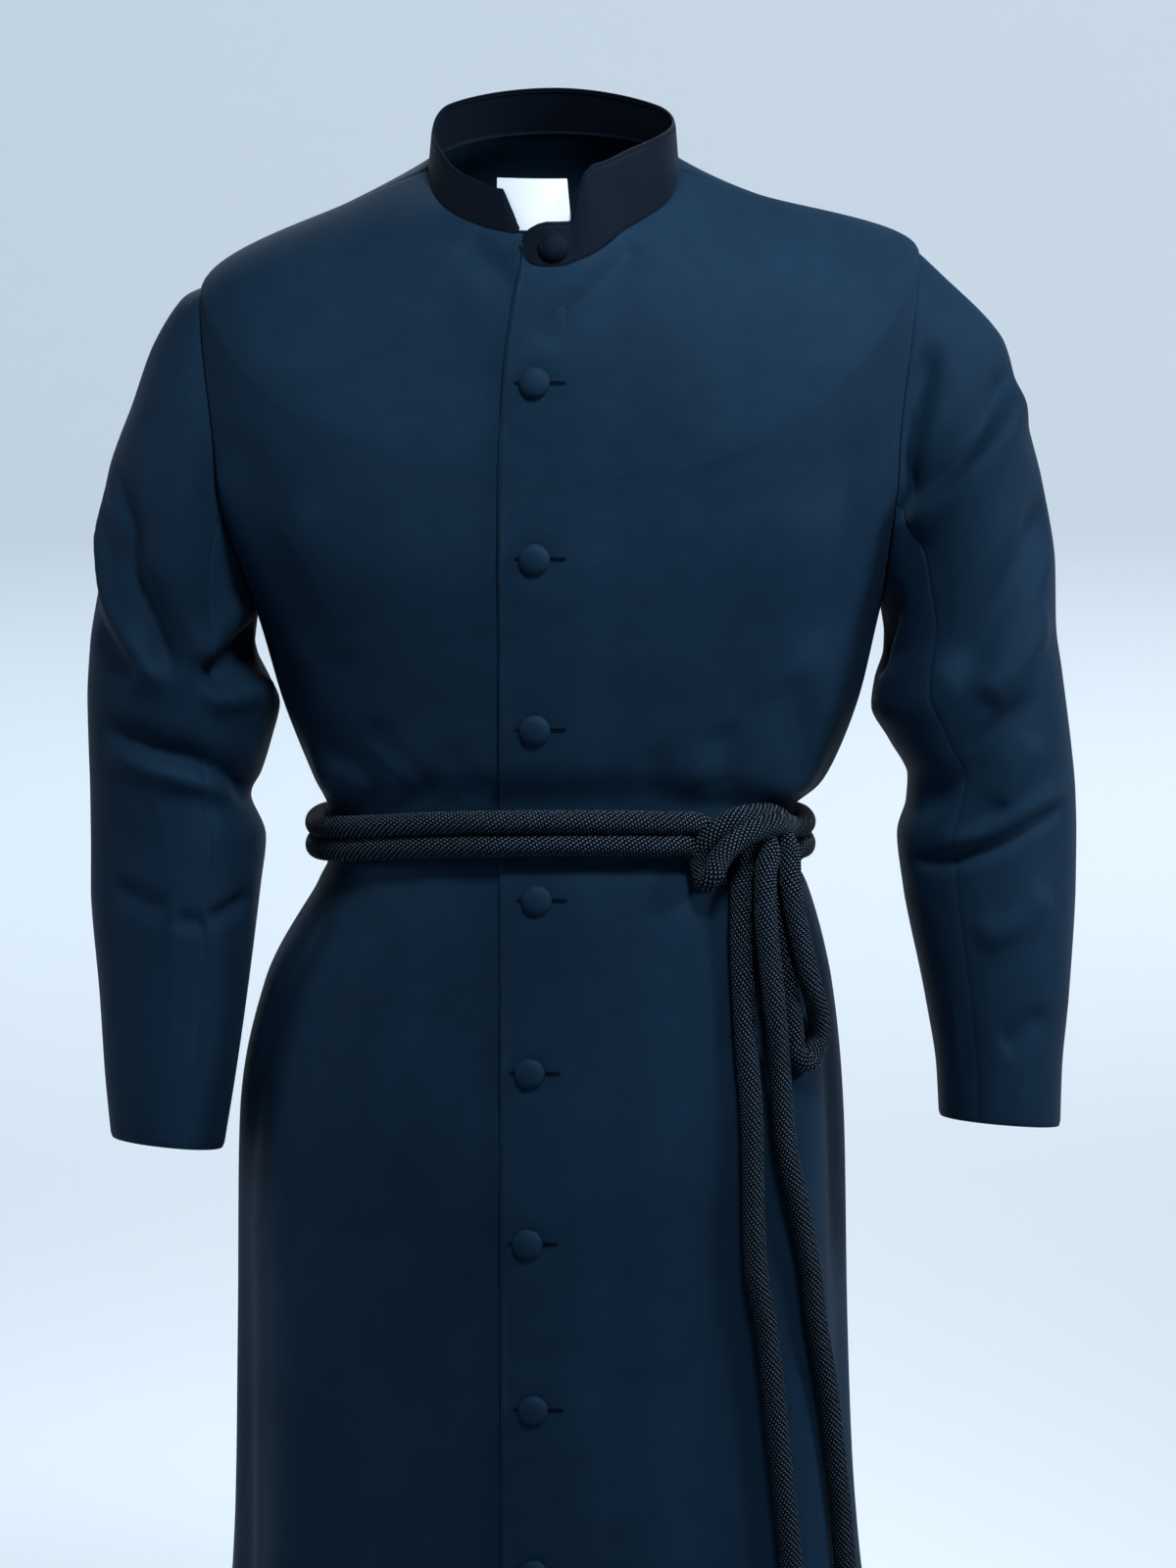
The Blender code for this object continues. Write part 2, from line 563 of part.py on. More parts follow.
def wall(name, outer, normals, finish="cloth", thickness=CLOTH):
    """A closed wall between a grid of outer points and the same points moved in."""
    rows, columns = outer.shape[:2]
    inner = outer - normals * thickness
    shape = bmesh.new()
    skins = []
    for layer in (outer, inner):
        skins.append([[shape.verts.new(point) for point in row] for row in layer])
    front, back = skins
    for row in range(rows - 1):
        for column in range(columns - 1):
            for skin in skins:
                shape.faces.new(
                    (
                        skin[row][column], skin[row][column + 1],
                        skin[row + 1][column + 1], skin[row + 1][column],
                    )
                )
    for row in range(rows - 1):
        for column in (0, columns - 1):
            shape.faces.new(
                (front[row][column], front[row + 1][column], back[row + 1][column], back[row][column])
            )
    for column in range(columns - 1):
        for row in (0, rows - 1):
            shape.faces.new(
                (front[row][column], front[row][column + 1], back[row][column + 1], back[row][column])
            )
    bmesh.ops.recalc_face_normals(shape, faces=shape.faces)
    mesh = bpy.data.meshes.new(name)
    shape.to_mesh(mesh)
    shape.free()
    mesh.shade_smooth()
    return place(name, mesh, finish)


def lap_angles(level):
    """Angles of the lines beside the closing edge, one column for each line."""
    spread = smooth_step(level / SHOULDER_LEVEL)
    columns = []
    for row in LAP_LINES:
        line = named(LAP_COLUMNS, row)
        columns.append(angle_at_x(line["neck_x"] + (line["lower_x"] - line["neck_x"]) * spread, level))
    return np.stack(columns, axis=-1)


def spread_angles(start, end, count):
    """Angles evenly spaced from after the start to the end, a row for each level."""
    steps = np.arange(1, count + 1) / count
    return start[:, None] + (end - start)[:, None] * steps[None, :]


def lap_lift(points):
    """How far the overlapping front lies off the body surface."""
    fade = smooth_step((points[..., 0] - LAP_FLAT_X) / (LAP_FADE_X - LAP_FLAT_X))
    return (CLOTH + LAP_GAP) * (1.0 - fade)


def left_front_grid():
    """Angles and levels of the front that overlaps, dipped at the neck."""
    level = np.array(BODY_ROWS)
    lap = lap_angles(level)
    edge, _ = side_edges(level, 1)
    angle = np.hstack((lap, spread_angles(lap[:, -1], edge, SIDE_COLUMNS)))
    levels = np.repeat(level[:, None], angle.shape[1], axis=1)
    dip = read(NECK_DIP_COLUMNS, NECK_DIP, body_form(angle[0], 0.0)[:, 0])
    fitted = dip + levels * (YOKE_LEVEL - dip) / YOKE_LEVEL
    levels = np.where(levels < YOKE_LEVEL, fitted, levels)
    return angle, levels


def left_front_points(angle, levels):
    """Outer points of the overlapping front."""
    points = body(angle, levels)
    normals = body_normal(body, angle, levels)
    return points + normals * lap_lift(points)[..., None], normals


def right_front_grid():
    """Angles and levels of the front that lies under the closing edge."""
    level = np.array(BODY_ROWS)
    under = lap_angles(level)[:, UNDERLAP_EDGE::-1]
    edge, _ = side_edges(level, -1)
    angle = np.hstack((under, spread_angles(under[:, -1], edge, SIDE_COLUMNS + 1)))
    return angle, np.repeat(level[:, None], angle.shape[1], axis=1)


def back_grid():
    """Angles and levels of the back, from its left side to its right."""
    level = np.array(BODY_ROWS)
    _, start = side_edges(level, 1)
    _, end = side_edges(level, -1)
    steps = np.linspace(0.0, 1.0, BACK_COLUMNS)
    angle = start[:, None] + (end - start)[:, None] * steps[None, :]
    return angle, np.repeat(level[:, None], angle.shape[1], axis=1)


def share_armhole(normals, column, side, table, creases, front):
    """Sets a body piece's wall directions on the armhole to those of the seam."""
    first = BODY_ROWS.index(SHOULDER_LEVEL)
    turn = ARMHOLE_TURNS if front else 360.0 - ARMHOLE_TURNS
    body_out, _, _ = armhole_seam(table, creases, side, turn)
    normals[first : first + len(turn), column] = body_out


def build_fronts_and_back():
    """The two fronts and the back, and the neck edge that the collar stands on."""
    left_angle, left_level = left_front_grid()
    left, left_out = left_front_points(left_angle, left_level)
    share_armhole(left_out, -1, 1, LEFT_SLEEVE, LEFT_CREASES, True)
    wall("front_left", left, left_out)

    right_angle, right_level = right_front_grid()
    right = body(right_angle, right_level)
    right_out = body_normal(body, right_angle, right_level)
    share_armhole(right_out, -1, -1, RIGHT_SLEEVE, RIGHT_CREASES, True)
    wall("front_right", right, right_out)

    back_angle, back_level = back_grid()
    back = body(back_angle, back_level)
    back_out = body_normal(body, back_angle, back_level)
    share_armhole(back_out, 0, 1, LEFT_SLEEVE, LEFT_CREASES, False)
    share_armhole(back_out, -1, -1, RIGHT_SLEEVE, RIGHT_CREASES, False)
    wall("back", back, back_out)

    under = UNDERLAP_EDGE + 1
    edge_angle = np.concatenate((left_angle[0], back_angle[0], 360.0 + right_angle[0][:under - 2:-1]))
    edge_points = np.concatenate((left[0], back[0], right[0][:under - 2:-1]))
    return edge_angle, edge_points


def collar_top(angle):
    """Points of the collar's full top edge."""
    across, forward = np.cos(np.radians(angle)), np.sin(np.radians(angle))
    depth = np.where(forward < 0.0, COLLAR_TOP_FRONT_Y, COLLAR_TOP_BACK_Y)
    height = read(COLLAR_TOP_COLUMNS, COLLAR_TOP, angle)
    return np.stack((COLLAR_TOP_X * across, depth * forward, height), axis=-1)


def collar_normal(points):
    """Directions that point level out of the neck."""
    flat = points * np.array((1.0, 1.0, 0.0))
    return unit(flat)


def build_collar(edge_angle, edge_points):
    """The stand band, with a low rounded end that buttons over the front centre."""
    set_angles = np.array([named(COLLAR_SHARE_COLUMNS, row)["angle"] for row in COLLAR_SHARES])
    inside = (edge_angle > set_angles[0]) & (edge_angle < set_angles[-1])
    angle = np.unique(np.round(np.concatenate((edge_angle[inside], set_angles)), 2))
    angle = angle[np.diff(angle, prepend=-math.inf) > COLLAR_LEAST_TURN]
    foot = np.stack([np.interp(angle, edge_angle, edge_points[:, axis]) for axis in range(3)], axis=-1)
    foot[:, 2] += SEAM_GAP
    seam = body_form(angle, 0.0)
    seam_out = collar_normal(seam)
    lift = np.where(angle < 0.0, lap_lift(seam), 0.0)
    seam = seam + seam_out * lift[:, None]
    top = collar_top(angle) + seam_out * lift[:, None]
    head = seam + (top - seam) * read(COLLAR_SHARE_COLUMNS, COLLAR_SHARES, angle)[:, None]
    rows = []
    for row in range(COLLAR_ROWS):
        rise = row / (COLLAR_ROWS - 1.0)
        rows.append(head + (foot - head) * rise)
    outer = np.stack(rows)
    normals = np.broadcast_to(seam_out, outer.shape)
    wall("collar", outer, normals)
    return outer


def seat_on_band(band, x, z):
    """The place on the band's rounded end at a place across and a height."""
    front = band[0, :, 0][: band.shape[1] // BAND_FRONT_PART]
    column = int(np.argmin(np.abs(front - x)))
    head, foot = band[0, column], band[-1, column]
    seat = head + (foot - head) * (head[2] - z) / (head[2] - foot[2])
    seat[0] = x
    normal = unit(np.cross(foot - head, np.array((1.0, 0.0, 0.0))))
    return seat, normal * -np.sign(normal[1])


def build_collar_tab():
    """The white insert, held behind the notch by the collar's inner face."""
    x = np.linspace(TAB_LEFT_X, TAB_RIGHT_X, TAB_COLUMNS)
    height = np.linspace(TAB_TOP_Z, TAB_FOOT_Z, TAB_ROWS)
    angle = angle_at_x(x, np.zeros(TAB_COLUMNS))
    seam, top = body_form(angle, 0.0), collar_top(np.full(TAB_COLUMNS, FRONT_CENTRE))
    top[:, :2] = collar_top(angle)[:, :2]
    share = (height[:, None] - seam[None, :, 2]) / (top[:, 2] - seam[:, 2])[None, :]
    points = seam[None] + (top - seam)[None] * share[..., None]
    normals = np.broadcast_to(collar_normal(seam), points.shape)
    wall("collar_tab", points - normals * (CLOTH + TAB_GAP), normals, "tab", TAB_THICKNESS)


def front_place(x, z):
    """The angle and level of the front surface's point at a place across and a height."""
    high, low = 0.0, HEM_LEVEL
    for _ in range(BISECTIONS):
        level = np.array((high + low) / 2.0)
        angle = angle_at_x(np.array(x), level)
        if body_form(angle, level)[2] > z:
            high = float(level)
        else:
            low = float(level)
    return angle, level


def on_cloth(x, z, out):
    """The point at a place across and a height that lies off the front's cloth."""
    aim = np.array((x, z))
    wanted = aim.copy()
    for _ in range(SEATING_ROUNDS):
        angle, level = front_place(*aim)
        normal = body_normal(body, angle, level)
        found = body(angle, level) + normal * out
        aim += wanted - found[::2]
    return found, normal


def build_button(name, seat, normal):
    """A cloth-covered button, turned from its half outline and set on the cloth."""
    outline = bpy.data.meshes.new(name)
    points = [(0.0, 0.0, 0.0)]
    points += [(r * BUTTON_RADIUS, 0.0, h * BUTTON_HEIGHT) for r, h in BUTTON_PROFILE]
    points.append((0.0, 0.0, BUTTON_HEIGHT))
    outline.from_pydata(points, [(i, i + 1) for i in range(len(points) - 1)], [])
    made = place(name, outline, "button_cloth")
    turned = made.modifiers.new("Turned", "SCREW")
    turned.steps = turned.render_steps = BUTTON_STEPS
    turned.use_merge_vertices = True
    turned.merge_threshold = BUTTON_MERGE
    turned.use_normal_calculate = True
    made.location = seat + normal * SEAM_GAP
    made.rotation_euler = Vector(normal).to_track_quat("Z", "Y").to_euler()


def build_buttons(band):
    """The collar button, on the band's rounded end, and those down the front."""
    build_button("button_collar", *seat_on_band(band, *COLLAR_BUTTON))
    for number, row in enumerate(FRONT_BUTTONS, start=1):
        at = named(BUTTON_COLUMNS, row)
        build_button(f"button_{number:02d}", *on_cloth(out=CLOTH + LAP_GAP, **at))


def sleeve_piece(name, table, creases, side, lines):
    """A wall over a sleeve's lengthwise lines, given as turns, from seam to seam."""
    def surface(at_turn, at_section):
        return sleeve(table, creases, side, at_turn, at_section)

    turn, section = np.meshgrid(lines, np.array(SLEEVE_ROWS))
    points = surface(turn, section)
    normals = sleeve_normal(surface, side, turn, section)
    _, seam_out, gap = armhole_seam(table, creases, side, lines)
    points[0] += gap
    normals[0] = seam_out
    round_it = unit(surface(turn + SLEEVE_TURN, section) - surface(turn - SLEEVE_TURN, section))
    points[:, 0] += round_it[:, 0] * SEAM_GAP / 2.0
    points[:, -1] -= round_it[:, -1] * SEAM_GAP / 2.0
    wall(name, points, normals)


def build_sleeve(name, table, creases, side):
    """A two-piece sleeve, its top piece over the shoulder and its under piece."""
    top, under = ARMHOLE_TURNS[: TOP_STEPS + 1], ARMHOLE_TURNS[TOP_STEPS:]
    top_lines = np.concatenate((-top[:0:-1], top))
    under_lines = np.concatenate((under, 360.0 - under[-2::-1]))
    sleeve_piece(f"{name}_top", table, creases, side, top_lines)
    sleeve_piece(f"{name}_under", table, creases, side, under_lines)


def smooth_route(points, per_point):
    """Points read from a smooth curve through a route's own points."""
    steps = np.linspace(0.0, len(points) - 1.0, (len(points) - 1) * per_point + 1)
    padded = np.vstack((2 * points[0] - points[1], points, 2 * points[-1] - points[-2]))
    found = []
    for step in steps:
        row = min(int(step), len(points) - 2)
        part = step - row
        a, b, c, d = padded[row : row + 4]
        found.append(
            b + 0.5 * part * ((c - a) + part * ((2 * a - 5 * b + 4 * c - d) + part * (3 * (b - c) + d - a)))
        )
    return found


def rope(name, points):
    """A rope along points, as a round tube with closed ends."""
    data = bpy.data.curves.new(name, "CURVE")
    data.dimensions = "3D"
    data.bevel_depth = ROPE_RADIUS
    data.bevel_resolution = ROPE_ROUNDNESS
    data.use_fill_caps = True
    line = data.splines.new("POLY")
    line.points.add(len(points) - 1)
    for point, place_of in zip(line.points, points):
        point.co = (*place_of, 1.0)
    return place(name, data, "rope")


def cloth_route(rows):
    """A route's points over the cloth, from its table."""
    return np.array([on_cloth(**named(ROUTE_COLUMNS, row))[0] for row in rows])


def strand_lift(points):
    """How far the overlapping front pushes a waist strand off the body surface."""
    front = points[..., 1] < 0.0
    rise = smooth_step((points[..., 0] - STRAND_RISE_X) / (STRAND_LIFTED_X - STRAND_RISE_X))
    return np.where(front, lap_lift(points) * rise, 0.0)


def build_cincture():
    """Two strands round the waist, their knot, a loop and two free ends."""
    for name, (start, end), side in (
        ("cincture_upper", UPPER_STRAND, 1.0),
        ("cincture_lower", LOWER_STRAND, -1.0),
    ):
        angle = np.linspace(start, end, STRAND_POINTS)
        level = np.full(STRAND_POINTS, WAIST_LEVEL)
        flat = unit(body_normal(body, angle, level) * np.array((1.0, 1.0, 0.0)))
        points = body(angle, level)
        points += flat * (ROPE_RADIUS + REST_GAP + strand_lift(points))[:, None]
        points[:, 2] += side * (ROPE_RADIUS + SEAM_GAP / 2.0)
        rope(name, points)
    rope("cincture_knot", smooth_route(cloth_route(KNOT_ROUTE), KNOT_STEPS))
    rope("cincture_loop", smooth_route(cloth_route(LOOP_ROUTE), KNOT_STEPS))
    rope("cincture_tail_a", smooth_route(cloth_route(TAIL_A_ROUTE), TAIL_STEPS))
    rope("cincture_tail_b", smooth_route(cloth_route(TAIL_B_ROUTE), TAIL_STEPS))
    build_end_knot("end_knot_a", TAIL_A_ROUTE)
    build_end_knot("end_knot_b", TAIL_B_ROUTE)


def build_end_knot(name, route):
    """The knot that closes a free end, as a round lump just below the tube."""
    end, before = cloth_route(route[-1:])[0], cloth_route(route[-2:-1])[0]
    mesh = bpy.data.meshes.new(name)
    shape = bmesh.new()
    bmesh.ops.create_uvsphere(
        shape, u_segments=END_KNOT_SEGMENTS, v_segments=END_KNOT_RINGS, radius=KNOT_RADIUS
    )
    shape.to_mesh(mesh)
    shape.free()
    mesh.shade_smooth()
    made = place(name, mesh, "rope")
    made.location = end + unit(end - before) * (KNOT_RADIUS + SEAM_GAP)


for existing in list(bpy.data.objects):
    bpy.data.objects.remove(existing)
GARMENT = bpy.data.collections.new("cassock")
bpy.context.scene.collection.children.link(GARMENT)

neck_angle, neck_points = build_fronts_and_back()
collar_band = build_collar(neck_angle, neck_points)
build_collar_tab()
build_buttons(collar_band)
build_sleeve("sleeve_left", LEFT_SLEEVE, LEFT_CREASES, 1)
build_sleeve("sleeve_right", RIGHT_SLEEVE, RIGHT_CREASES, -1)
build_cincture()
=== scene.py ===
"""Looks of a full-length cassock of dark cloth with its rope cincture, as worn.

Metres, +Z up, the garment faces -Y and +X is the wearer's left. Each section builds
one piece or group of the garment, in the order in which it is made up.
"""

import math

import bpy
import numpy as np
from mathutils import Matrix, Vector


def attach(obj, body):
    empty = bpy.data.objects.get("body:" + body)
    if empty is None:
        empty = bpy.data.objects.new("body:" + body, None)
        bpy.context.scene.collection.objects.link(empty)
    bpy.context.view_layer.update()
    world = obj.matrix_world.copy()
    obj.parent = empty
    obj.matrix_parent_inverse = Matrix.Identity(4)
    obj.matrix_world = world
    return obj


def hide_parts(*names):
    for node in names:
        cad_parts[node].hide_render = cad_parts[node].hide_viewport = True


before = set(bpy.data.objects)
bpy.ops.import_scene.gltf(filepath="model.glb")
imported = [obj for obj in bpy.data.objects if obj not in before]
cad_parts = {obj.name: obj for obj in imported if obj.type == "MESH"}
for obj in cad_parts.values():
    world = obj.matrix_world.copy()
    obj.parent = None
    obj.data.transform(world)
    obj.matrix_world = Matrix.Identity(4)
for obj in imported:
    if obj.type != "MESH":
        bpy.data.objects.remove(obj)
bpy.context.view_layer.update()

# The cloth body: one worn surface of plain dark wool-blend cloth that hangs from the
# shoulders. The fronts and the back are cut from it and the collar stands on its neckline.
# It is read at an angle round it and a level down it.
CLOTH = 0.0015
SEAM_GAP = 0.0003
LAP_GAP = 0.0005
REST_GAP = 0.0006
BODY_COLUMNS = (
    "plus_x", "plus_z", "minus_x", "minus_z", "front_y", "front_z", "back_y", "back_z",
    "square", "droop",
)
BODY_LEVELS = {
    "neckline": (0.083, 0.000, 0.083, 0.000, 0.085, -0.036, 0.062, 0.020, 2.0, 0.8),
    "yoke": (0.135, -0.017, 0.135, -0.022, 0.103, -0.085, 0.088, -0.020, 2.1, 1.2),
    "shoulder": (0.242, -0.053, 0.234, -0.077, 0.122, -0.190, 0.113, -0.150, 2.6, 1.5),
    "mid_armhole": (0.250, -0.160, 0.245, -0.170, 0.124, -0.245, 0.115, -0.215, 2.6, 1.5),
    "underarm": (0.220, -0.290, 0.200, -0.295, 0.122, -0.300, 0.110, -0.290, 2.5, 1.5),
    "ribs": (0.205, -0.357, 0.183, -0.357, 0.118, -0.342, 0.104, -0.360, 2.4, 1.5),
    "blouse": (0.182, -0.412, 0.164, -0.408, 0.116, -0.378, 0.100, -0.410, 2.3, 1.5),
    "waist_top": (0.162, -0.4335, 0.154, -0.4335, 0.107, -0.4085, 0.094, -0.4445, 2.2, 1.5),
    "waist_foot": (0.162, -0.4645, 0.154, -0.4645, 0.107, -0.4395, 0.094, -0.4755, 2.2, 1.5),
    "below_belt": (0.172, -0.485, 0.162, -0.485, 0.113, -0.461, 0.100, -0.496, 2.25, 1.5),
    "hip": (0.190, -0.554, 0.199, -0.554, 0.124, -0.540, 0.118, -0.560, 2.3, 1.5),
    "seat": (0.199, -0.645, 0.217, -0.645, 0.134, -0.640, 0.130, -0.648, 2.4, 1.5),
    "thigh": (0.2035, -0.800, 0.221, -0.800, 0.142, -0.800, 0.142, -0.800, 2.3, 1.5),
    "knee": (0.213, -0.982, 0.2263, -0.982, 0.152, -0.982, 0.155, -0.982, 2.3, 1.5),
    "calf": (0.268, -1.200, 0.262, -1.200, 0.170, -1.200, 0.178, -1.200, 2.2, 1.5),
    "hem": (0.313, -1.420, 0.300, -1.420, 0.190, -1.420, 0.205, -1.420, 2.15, 1.5),
}
HEM_LEVEL = 15.0
YOKE_LEVEL = 1.0
SHOULDER_LEVEL = 2.0
UNDERARM_LEVEL = 4.0
WAIST_LEVEL = 7.5
FLUTE_COLUMNS = ("angle", "half_width", "height", "start_level")
FLUTES = (
    (-38, 17, 0.016, 9.0), (-64, 10, -0.007, 10.0), (-14, 13, -0.012, 9.5),
    (8, 15, 0.016, 12.0), (34, 14, -0.012, 9.5), (58, 15, 0.016, 9.0),
    (90, 17, -0.013, 9.0), (122, 15, 0.017, 9.0), (147, 13, -0.012, 9.5),
    (172, 14, 0.015, 12.0), (196, 12, -0.011, 9.5), (221, 16, 0.014, 9.0),
    (246, 9, -0.006, 10.0),
)
GATHER_COLUMNS = ("angle", "half_width", "height", "level", "half_span")
GATHERS = (
    (-28, 13, 0.006, 6.0, 0.9), (-58, 10, 0.003, 6.1, 0.8), (-125, 11, 0.004, 6.0, 0.8),
    (-155, 12, 0.006, 6.0, 0.9), (40, 14, 0.006, 6.0, 0.9), (75, 12, -0.004, 5.9, 0.9),
    (105, 13, 0.006, 6.0, 0.9), (140, 13, -0.004, 5.8, 0.9),
)
BODY_TURN = 1.0
BODY_DROP = 0.03


def named(columns, row):
    """One row of a table as names and values."""
    return dict(zip(columns, row))


def unit(vectors):
    """Vectors made one metre long."""
    length = np.linalg.norm(vectors, axis=-1, keepdims=True)
    return vectors / np.maximum(length, 1e-12)


def smooth_step(value):
    """Zero below 0, one above 1 and a soft rise between."""
    value = np.clip(value, 0.0, 1.0)
    return value * value * (3.0 - 2.0 * value)


def along(rows, position):
    """The rows of a table at places between them, blended with no overshoot."""
    values = np.asarray(rows, dtype=float)
    steps = np.diff(values, axis=0)
    agree = steps[:-1] * steps[1:] > 0.0
    total = np.where(agree, steps[:-1] + steps[1:], 1.0)
    inner = np.where(agree, 2.0 * steps[:-1] * steps[1:] / total, 0.0)
    slopes = np.vstack((steps[:1], inner, steps[-1:]))
    position = np.clip(np.asarray(position, dtype=float), 0.0, len(values) - 1.0)
    row = np.minimum(position.astype(int), len(values) - 2)
    part = (position - row)[..., None]
    square = part * part
    cube = square * part
    return (
        (2 * cube - 3 * square + 1) * values[row]
        + (cube - 2 * square + part) * slopes[row]
        + (3 * square - 2 * cube) * values[row + 1]
        + (cube - square) * slopes[row + 1]
    )


def body_sizes(level):
    """The body table's columns at a level, by name."""
    sizes = along(list(BODY_LEVELS.values()), level)
    return {name: sizes[..., column] for column, name in enumerate(BODY_COLUMNS)}


def signed_power(value, power):
    """A power that keeps the sign."""
    return np.sign(value) * np.abs(value) ** power


def body_form(angle, level):
    """Points of the body surface before its folds."""
    angle, level = np.broadcast_arrays(np.asarray(angle, float), np.asarray(level, float))
    size = body_sizes(level)
    across, forward = np.cos(np.radians(angle)), np.sin(np.radians(angle))
    left, front = across >= 0.0, forward < 0.0
    power = 2.0 / size["square"]
    half_width = np.where(left, size["plus_x"], size["minus_x"])
    depth = np.where(front, size["front_y"], size["back_y"])
    side_z = np.where(left, size["plus_z"], size["minus_z"])
    centre_z = np.where(front, size["front_z"], size["back_z"])
    reach = np.abs(forward) ** size["droop"]
    return np.stack(
        (
            half_width * signed_power(across, power),
            depth * signed_power(forward, power),
            side_z + (centre_z - side_z) * reach,
        ),
        axis=-1,
    )


def body_normal(surface, angle, level):
    """Directions that point out of a surface read by angle and level."""
    round_it = surface(angle + BODY_TURN, level) - surface(angle - BODY_TURN, level)
    down_it = surface(angle, level + BODY_DROP) - surface(angle, level - BODY_DROP)
    return unit(np.cross(down_it, round_it))


def bump(angle, middle, half_width):
    """One at the middle angle, falling softly to nothing at half a width away."""
    apart = (angle - middle + 180.0) % 360.0 - 180.0
    return np.cos(np.clip(apart / half_width, -1.0, 1.0) * math.pi / 2.0) ** 2


def body_folds(angle, level):
    """How far the folds stand out of the body surface."""
    height = np.zeros(np.broadcast(angle, level).shape)
    for row in FLUTES:
        fold = named(FLUTE_COLUMNS, row)
        start = fold["start_level"]
        grown = smooth_step((level - start) / (HEM_LEVEL - start))
        height = height + fold["height"] * grown * bump(angle, fold["angle"], fold["half_width"])
    for row in GATHERS:
        fold = named(GATHER_COLUMNS, row)
        near = smooth_step(1.0 - np.abs(level - fold["level"]) / fold["half_span"])
        height = height + fold["height"] * near * bump(angle, fold["angle"], fold["half_width"])
    return height


def body(angle, level):
    """Points of the body surface with its folds."""
    normal = body_normal(body_form, angle, level)
    return body_form(angle, level) + normal * body_folds(angle, level)[..., None]


def angle_at_x(x, level):
    """The angle of the front surface's point at a place across the body."""
    size = body_sizes(level)
    half_width = np.where(x >= 0.0, size["plus_x"], size["minus_x"])
    across = (np.abs(x) / half_width) ** (size["square"] / 2.0)
    return -np.degrees(np.arccos(np.sign(x) * np.clip(across, 0.0, 1.0)))


# The cloth's finish: a fine twill, dyed nearly black, that takes a bluish bloom where the
# light grazes it. The weave and the rubbed tone are node groups that the other cloth
# pieces share.
CLOTH_DARK = (0.0012, 0.0052, 0.0120)
CLOTH_LIGHT = (0.0066, 0.0215, 0.0460)
BLUE_SHINE = (0.35, 0.62, 1.0)
CLOTH_ROUGHNESS = 0.66
CLOTH_SPECULAR = 0.06
CLOTH_SHEEN = 0.02
CLOTH_SHEEN_ROUGHNESS = 0.4
CLOTH_BUMP = 0.00012
CLOTH_BUMP_STRENGTH = 0.6
TWILL_PITCH = 0.0009
TWILL_SLANT = 1.6
TWILL_RIB_SHARE = 0.35
SLUB_SCALE = 900.0
CLOUD_SCALE = 55.0
SLUB_TONE = 0.6
CLOUD_TONE = 0.4
WEAVE_TONE = 0.75
NAP_TONE = 0.25
NAP_SCALE = 7.0
NAP_FROM = 0.35
NAP_TO = 0.7
NAP_GLOSS = 0.05
TURN = 2.0 * math.pi


def add_group(name, inputs, outputs):
    """An empty shader node group with named sockets, and its input and output nodes."""
    tree = bpy.data.node_groups.new(name, "ShaderNodeTree")
    for label, kind, value in inputs:
        socket = tree.interface.new_socket(label, in_out="INPUT", socket_type=kind)
        if value is not None:
            socket.default_value = value
    for label, kind in outputs:
        tree.interface.new_socket(label, in_out="OUTPUT", socket_type=kind)
    return tree, tree.nodes.new("NodeGroupInput"), tree.nodes.new("NodeGroupOutput")


def add_node(tree, kind, sockets=(), **settings):
    """A node with settings, and a value or a link for each named or numbered socket."""
    made = tree.nodes.new(kind)
    for setting, value in settings.items():
        setattr(made, setting, value)
    for socket, value in dict(sockets).items():
        if isinstance(value, bpy.types.NodeSocket):
            tree.links.new(value, made.inputs[socket])
        else:
            made.inputs[socket].default_value = value
    return made


def add_math(tree, operation, first, second=0.0):
    """The result of one sum on two values or links."""
    return add_node(tree, "ShaderNodeMath", {0: first, 1: second}, operation=operation).outputs[0]


def add_noise(tree, place, scale, detail):
    """Soft noise at a place, as one value."""
    sockets = {"Vector": place, "Scale": scale, "Detail": detail}
    return add_node(tree, "ShaderNodeTexNoise", sockets).outputs[0]


def add_blend(tree, first, first_share, second, second_share):
    """Two values added, each by its share."""
    return add_math(
        tree, "ADD", add_math(tree, "MULTIPLY", first, first_share),
        add_math(tree, "MULTIPLY", second, second_share),
    )


def add_colour(tree, dark, light, share):
    """A colour between two, by a value."""
    mixed = add_node(tree, "ShaderNodeMix", {"Factor": share}, data_type="RGBA")
    mixed.inputs[6].default_value = (*dark, 1.0)
    mixed.inputs[7].default_value = (*light, 1.0)
    return mixed.outputs[2]


def twill_group():
    """Fine diagonal ribs crossed by slubs: a height and a light-to-dark tone."""
    tree, given, out = add_group(
        "Twill weave",
        (("Place", "NodeSocketVector", None), ("Pitch", "NodeSocketFloat", TWILL_PITCH)),
        (("Height", "NodeSocketFloat"), ("Tone", "NodeSocketFloat")),
    )
    place, pitch = given.outputs["Place"], given.outputs["Pitch"]
    parts = add_node(tree, "ShaderNodeSeparateXYZ", {0: place})
    drift = add_math(tree, "MULTIPLY", parts.outputs[1], TWILL_SLANT)
    slant = add_math(tree, "ADD", parts.outputs[0], drift)
    turns = add_math(tree, "MULTIPLY", add_math(tree, "DIVIDE", slant, pitch), TURN)
    rib = add_math(tree, "SINE", turns)
    slub = add_noise(tree, place, SLUB_SCALE, 2.0)
    cloud = add_noise(tree, place, CLOUD_SCALE, 4.0)
    height = add_math(tree, "ADD", add_math(tree, "MULTIPLY", rib, TWILL_RIB_SHARE), slub)
    tone = add_blend(tree, slub, SLUB_TONE, cloud, CLOUD_TONE)
    tree.links.new(height, out.inputs["Height"])
    tree.links.new(tone, out.inputs["Tone"])
    return tree


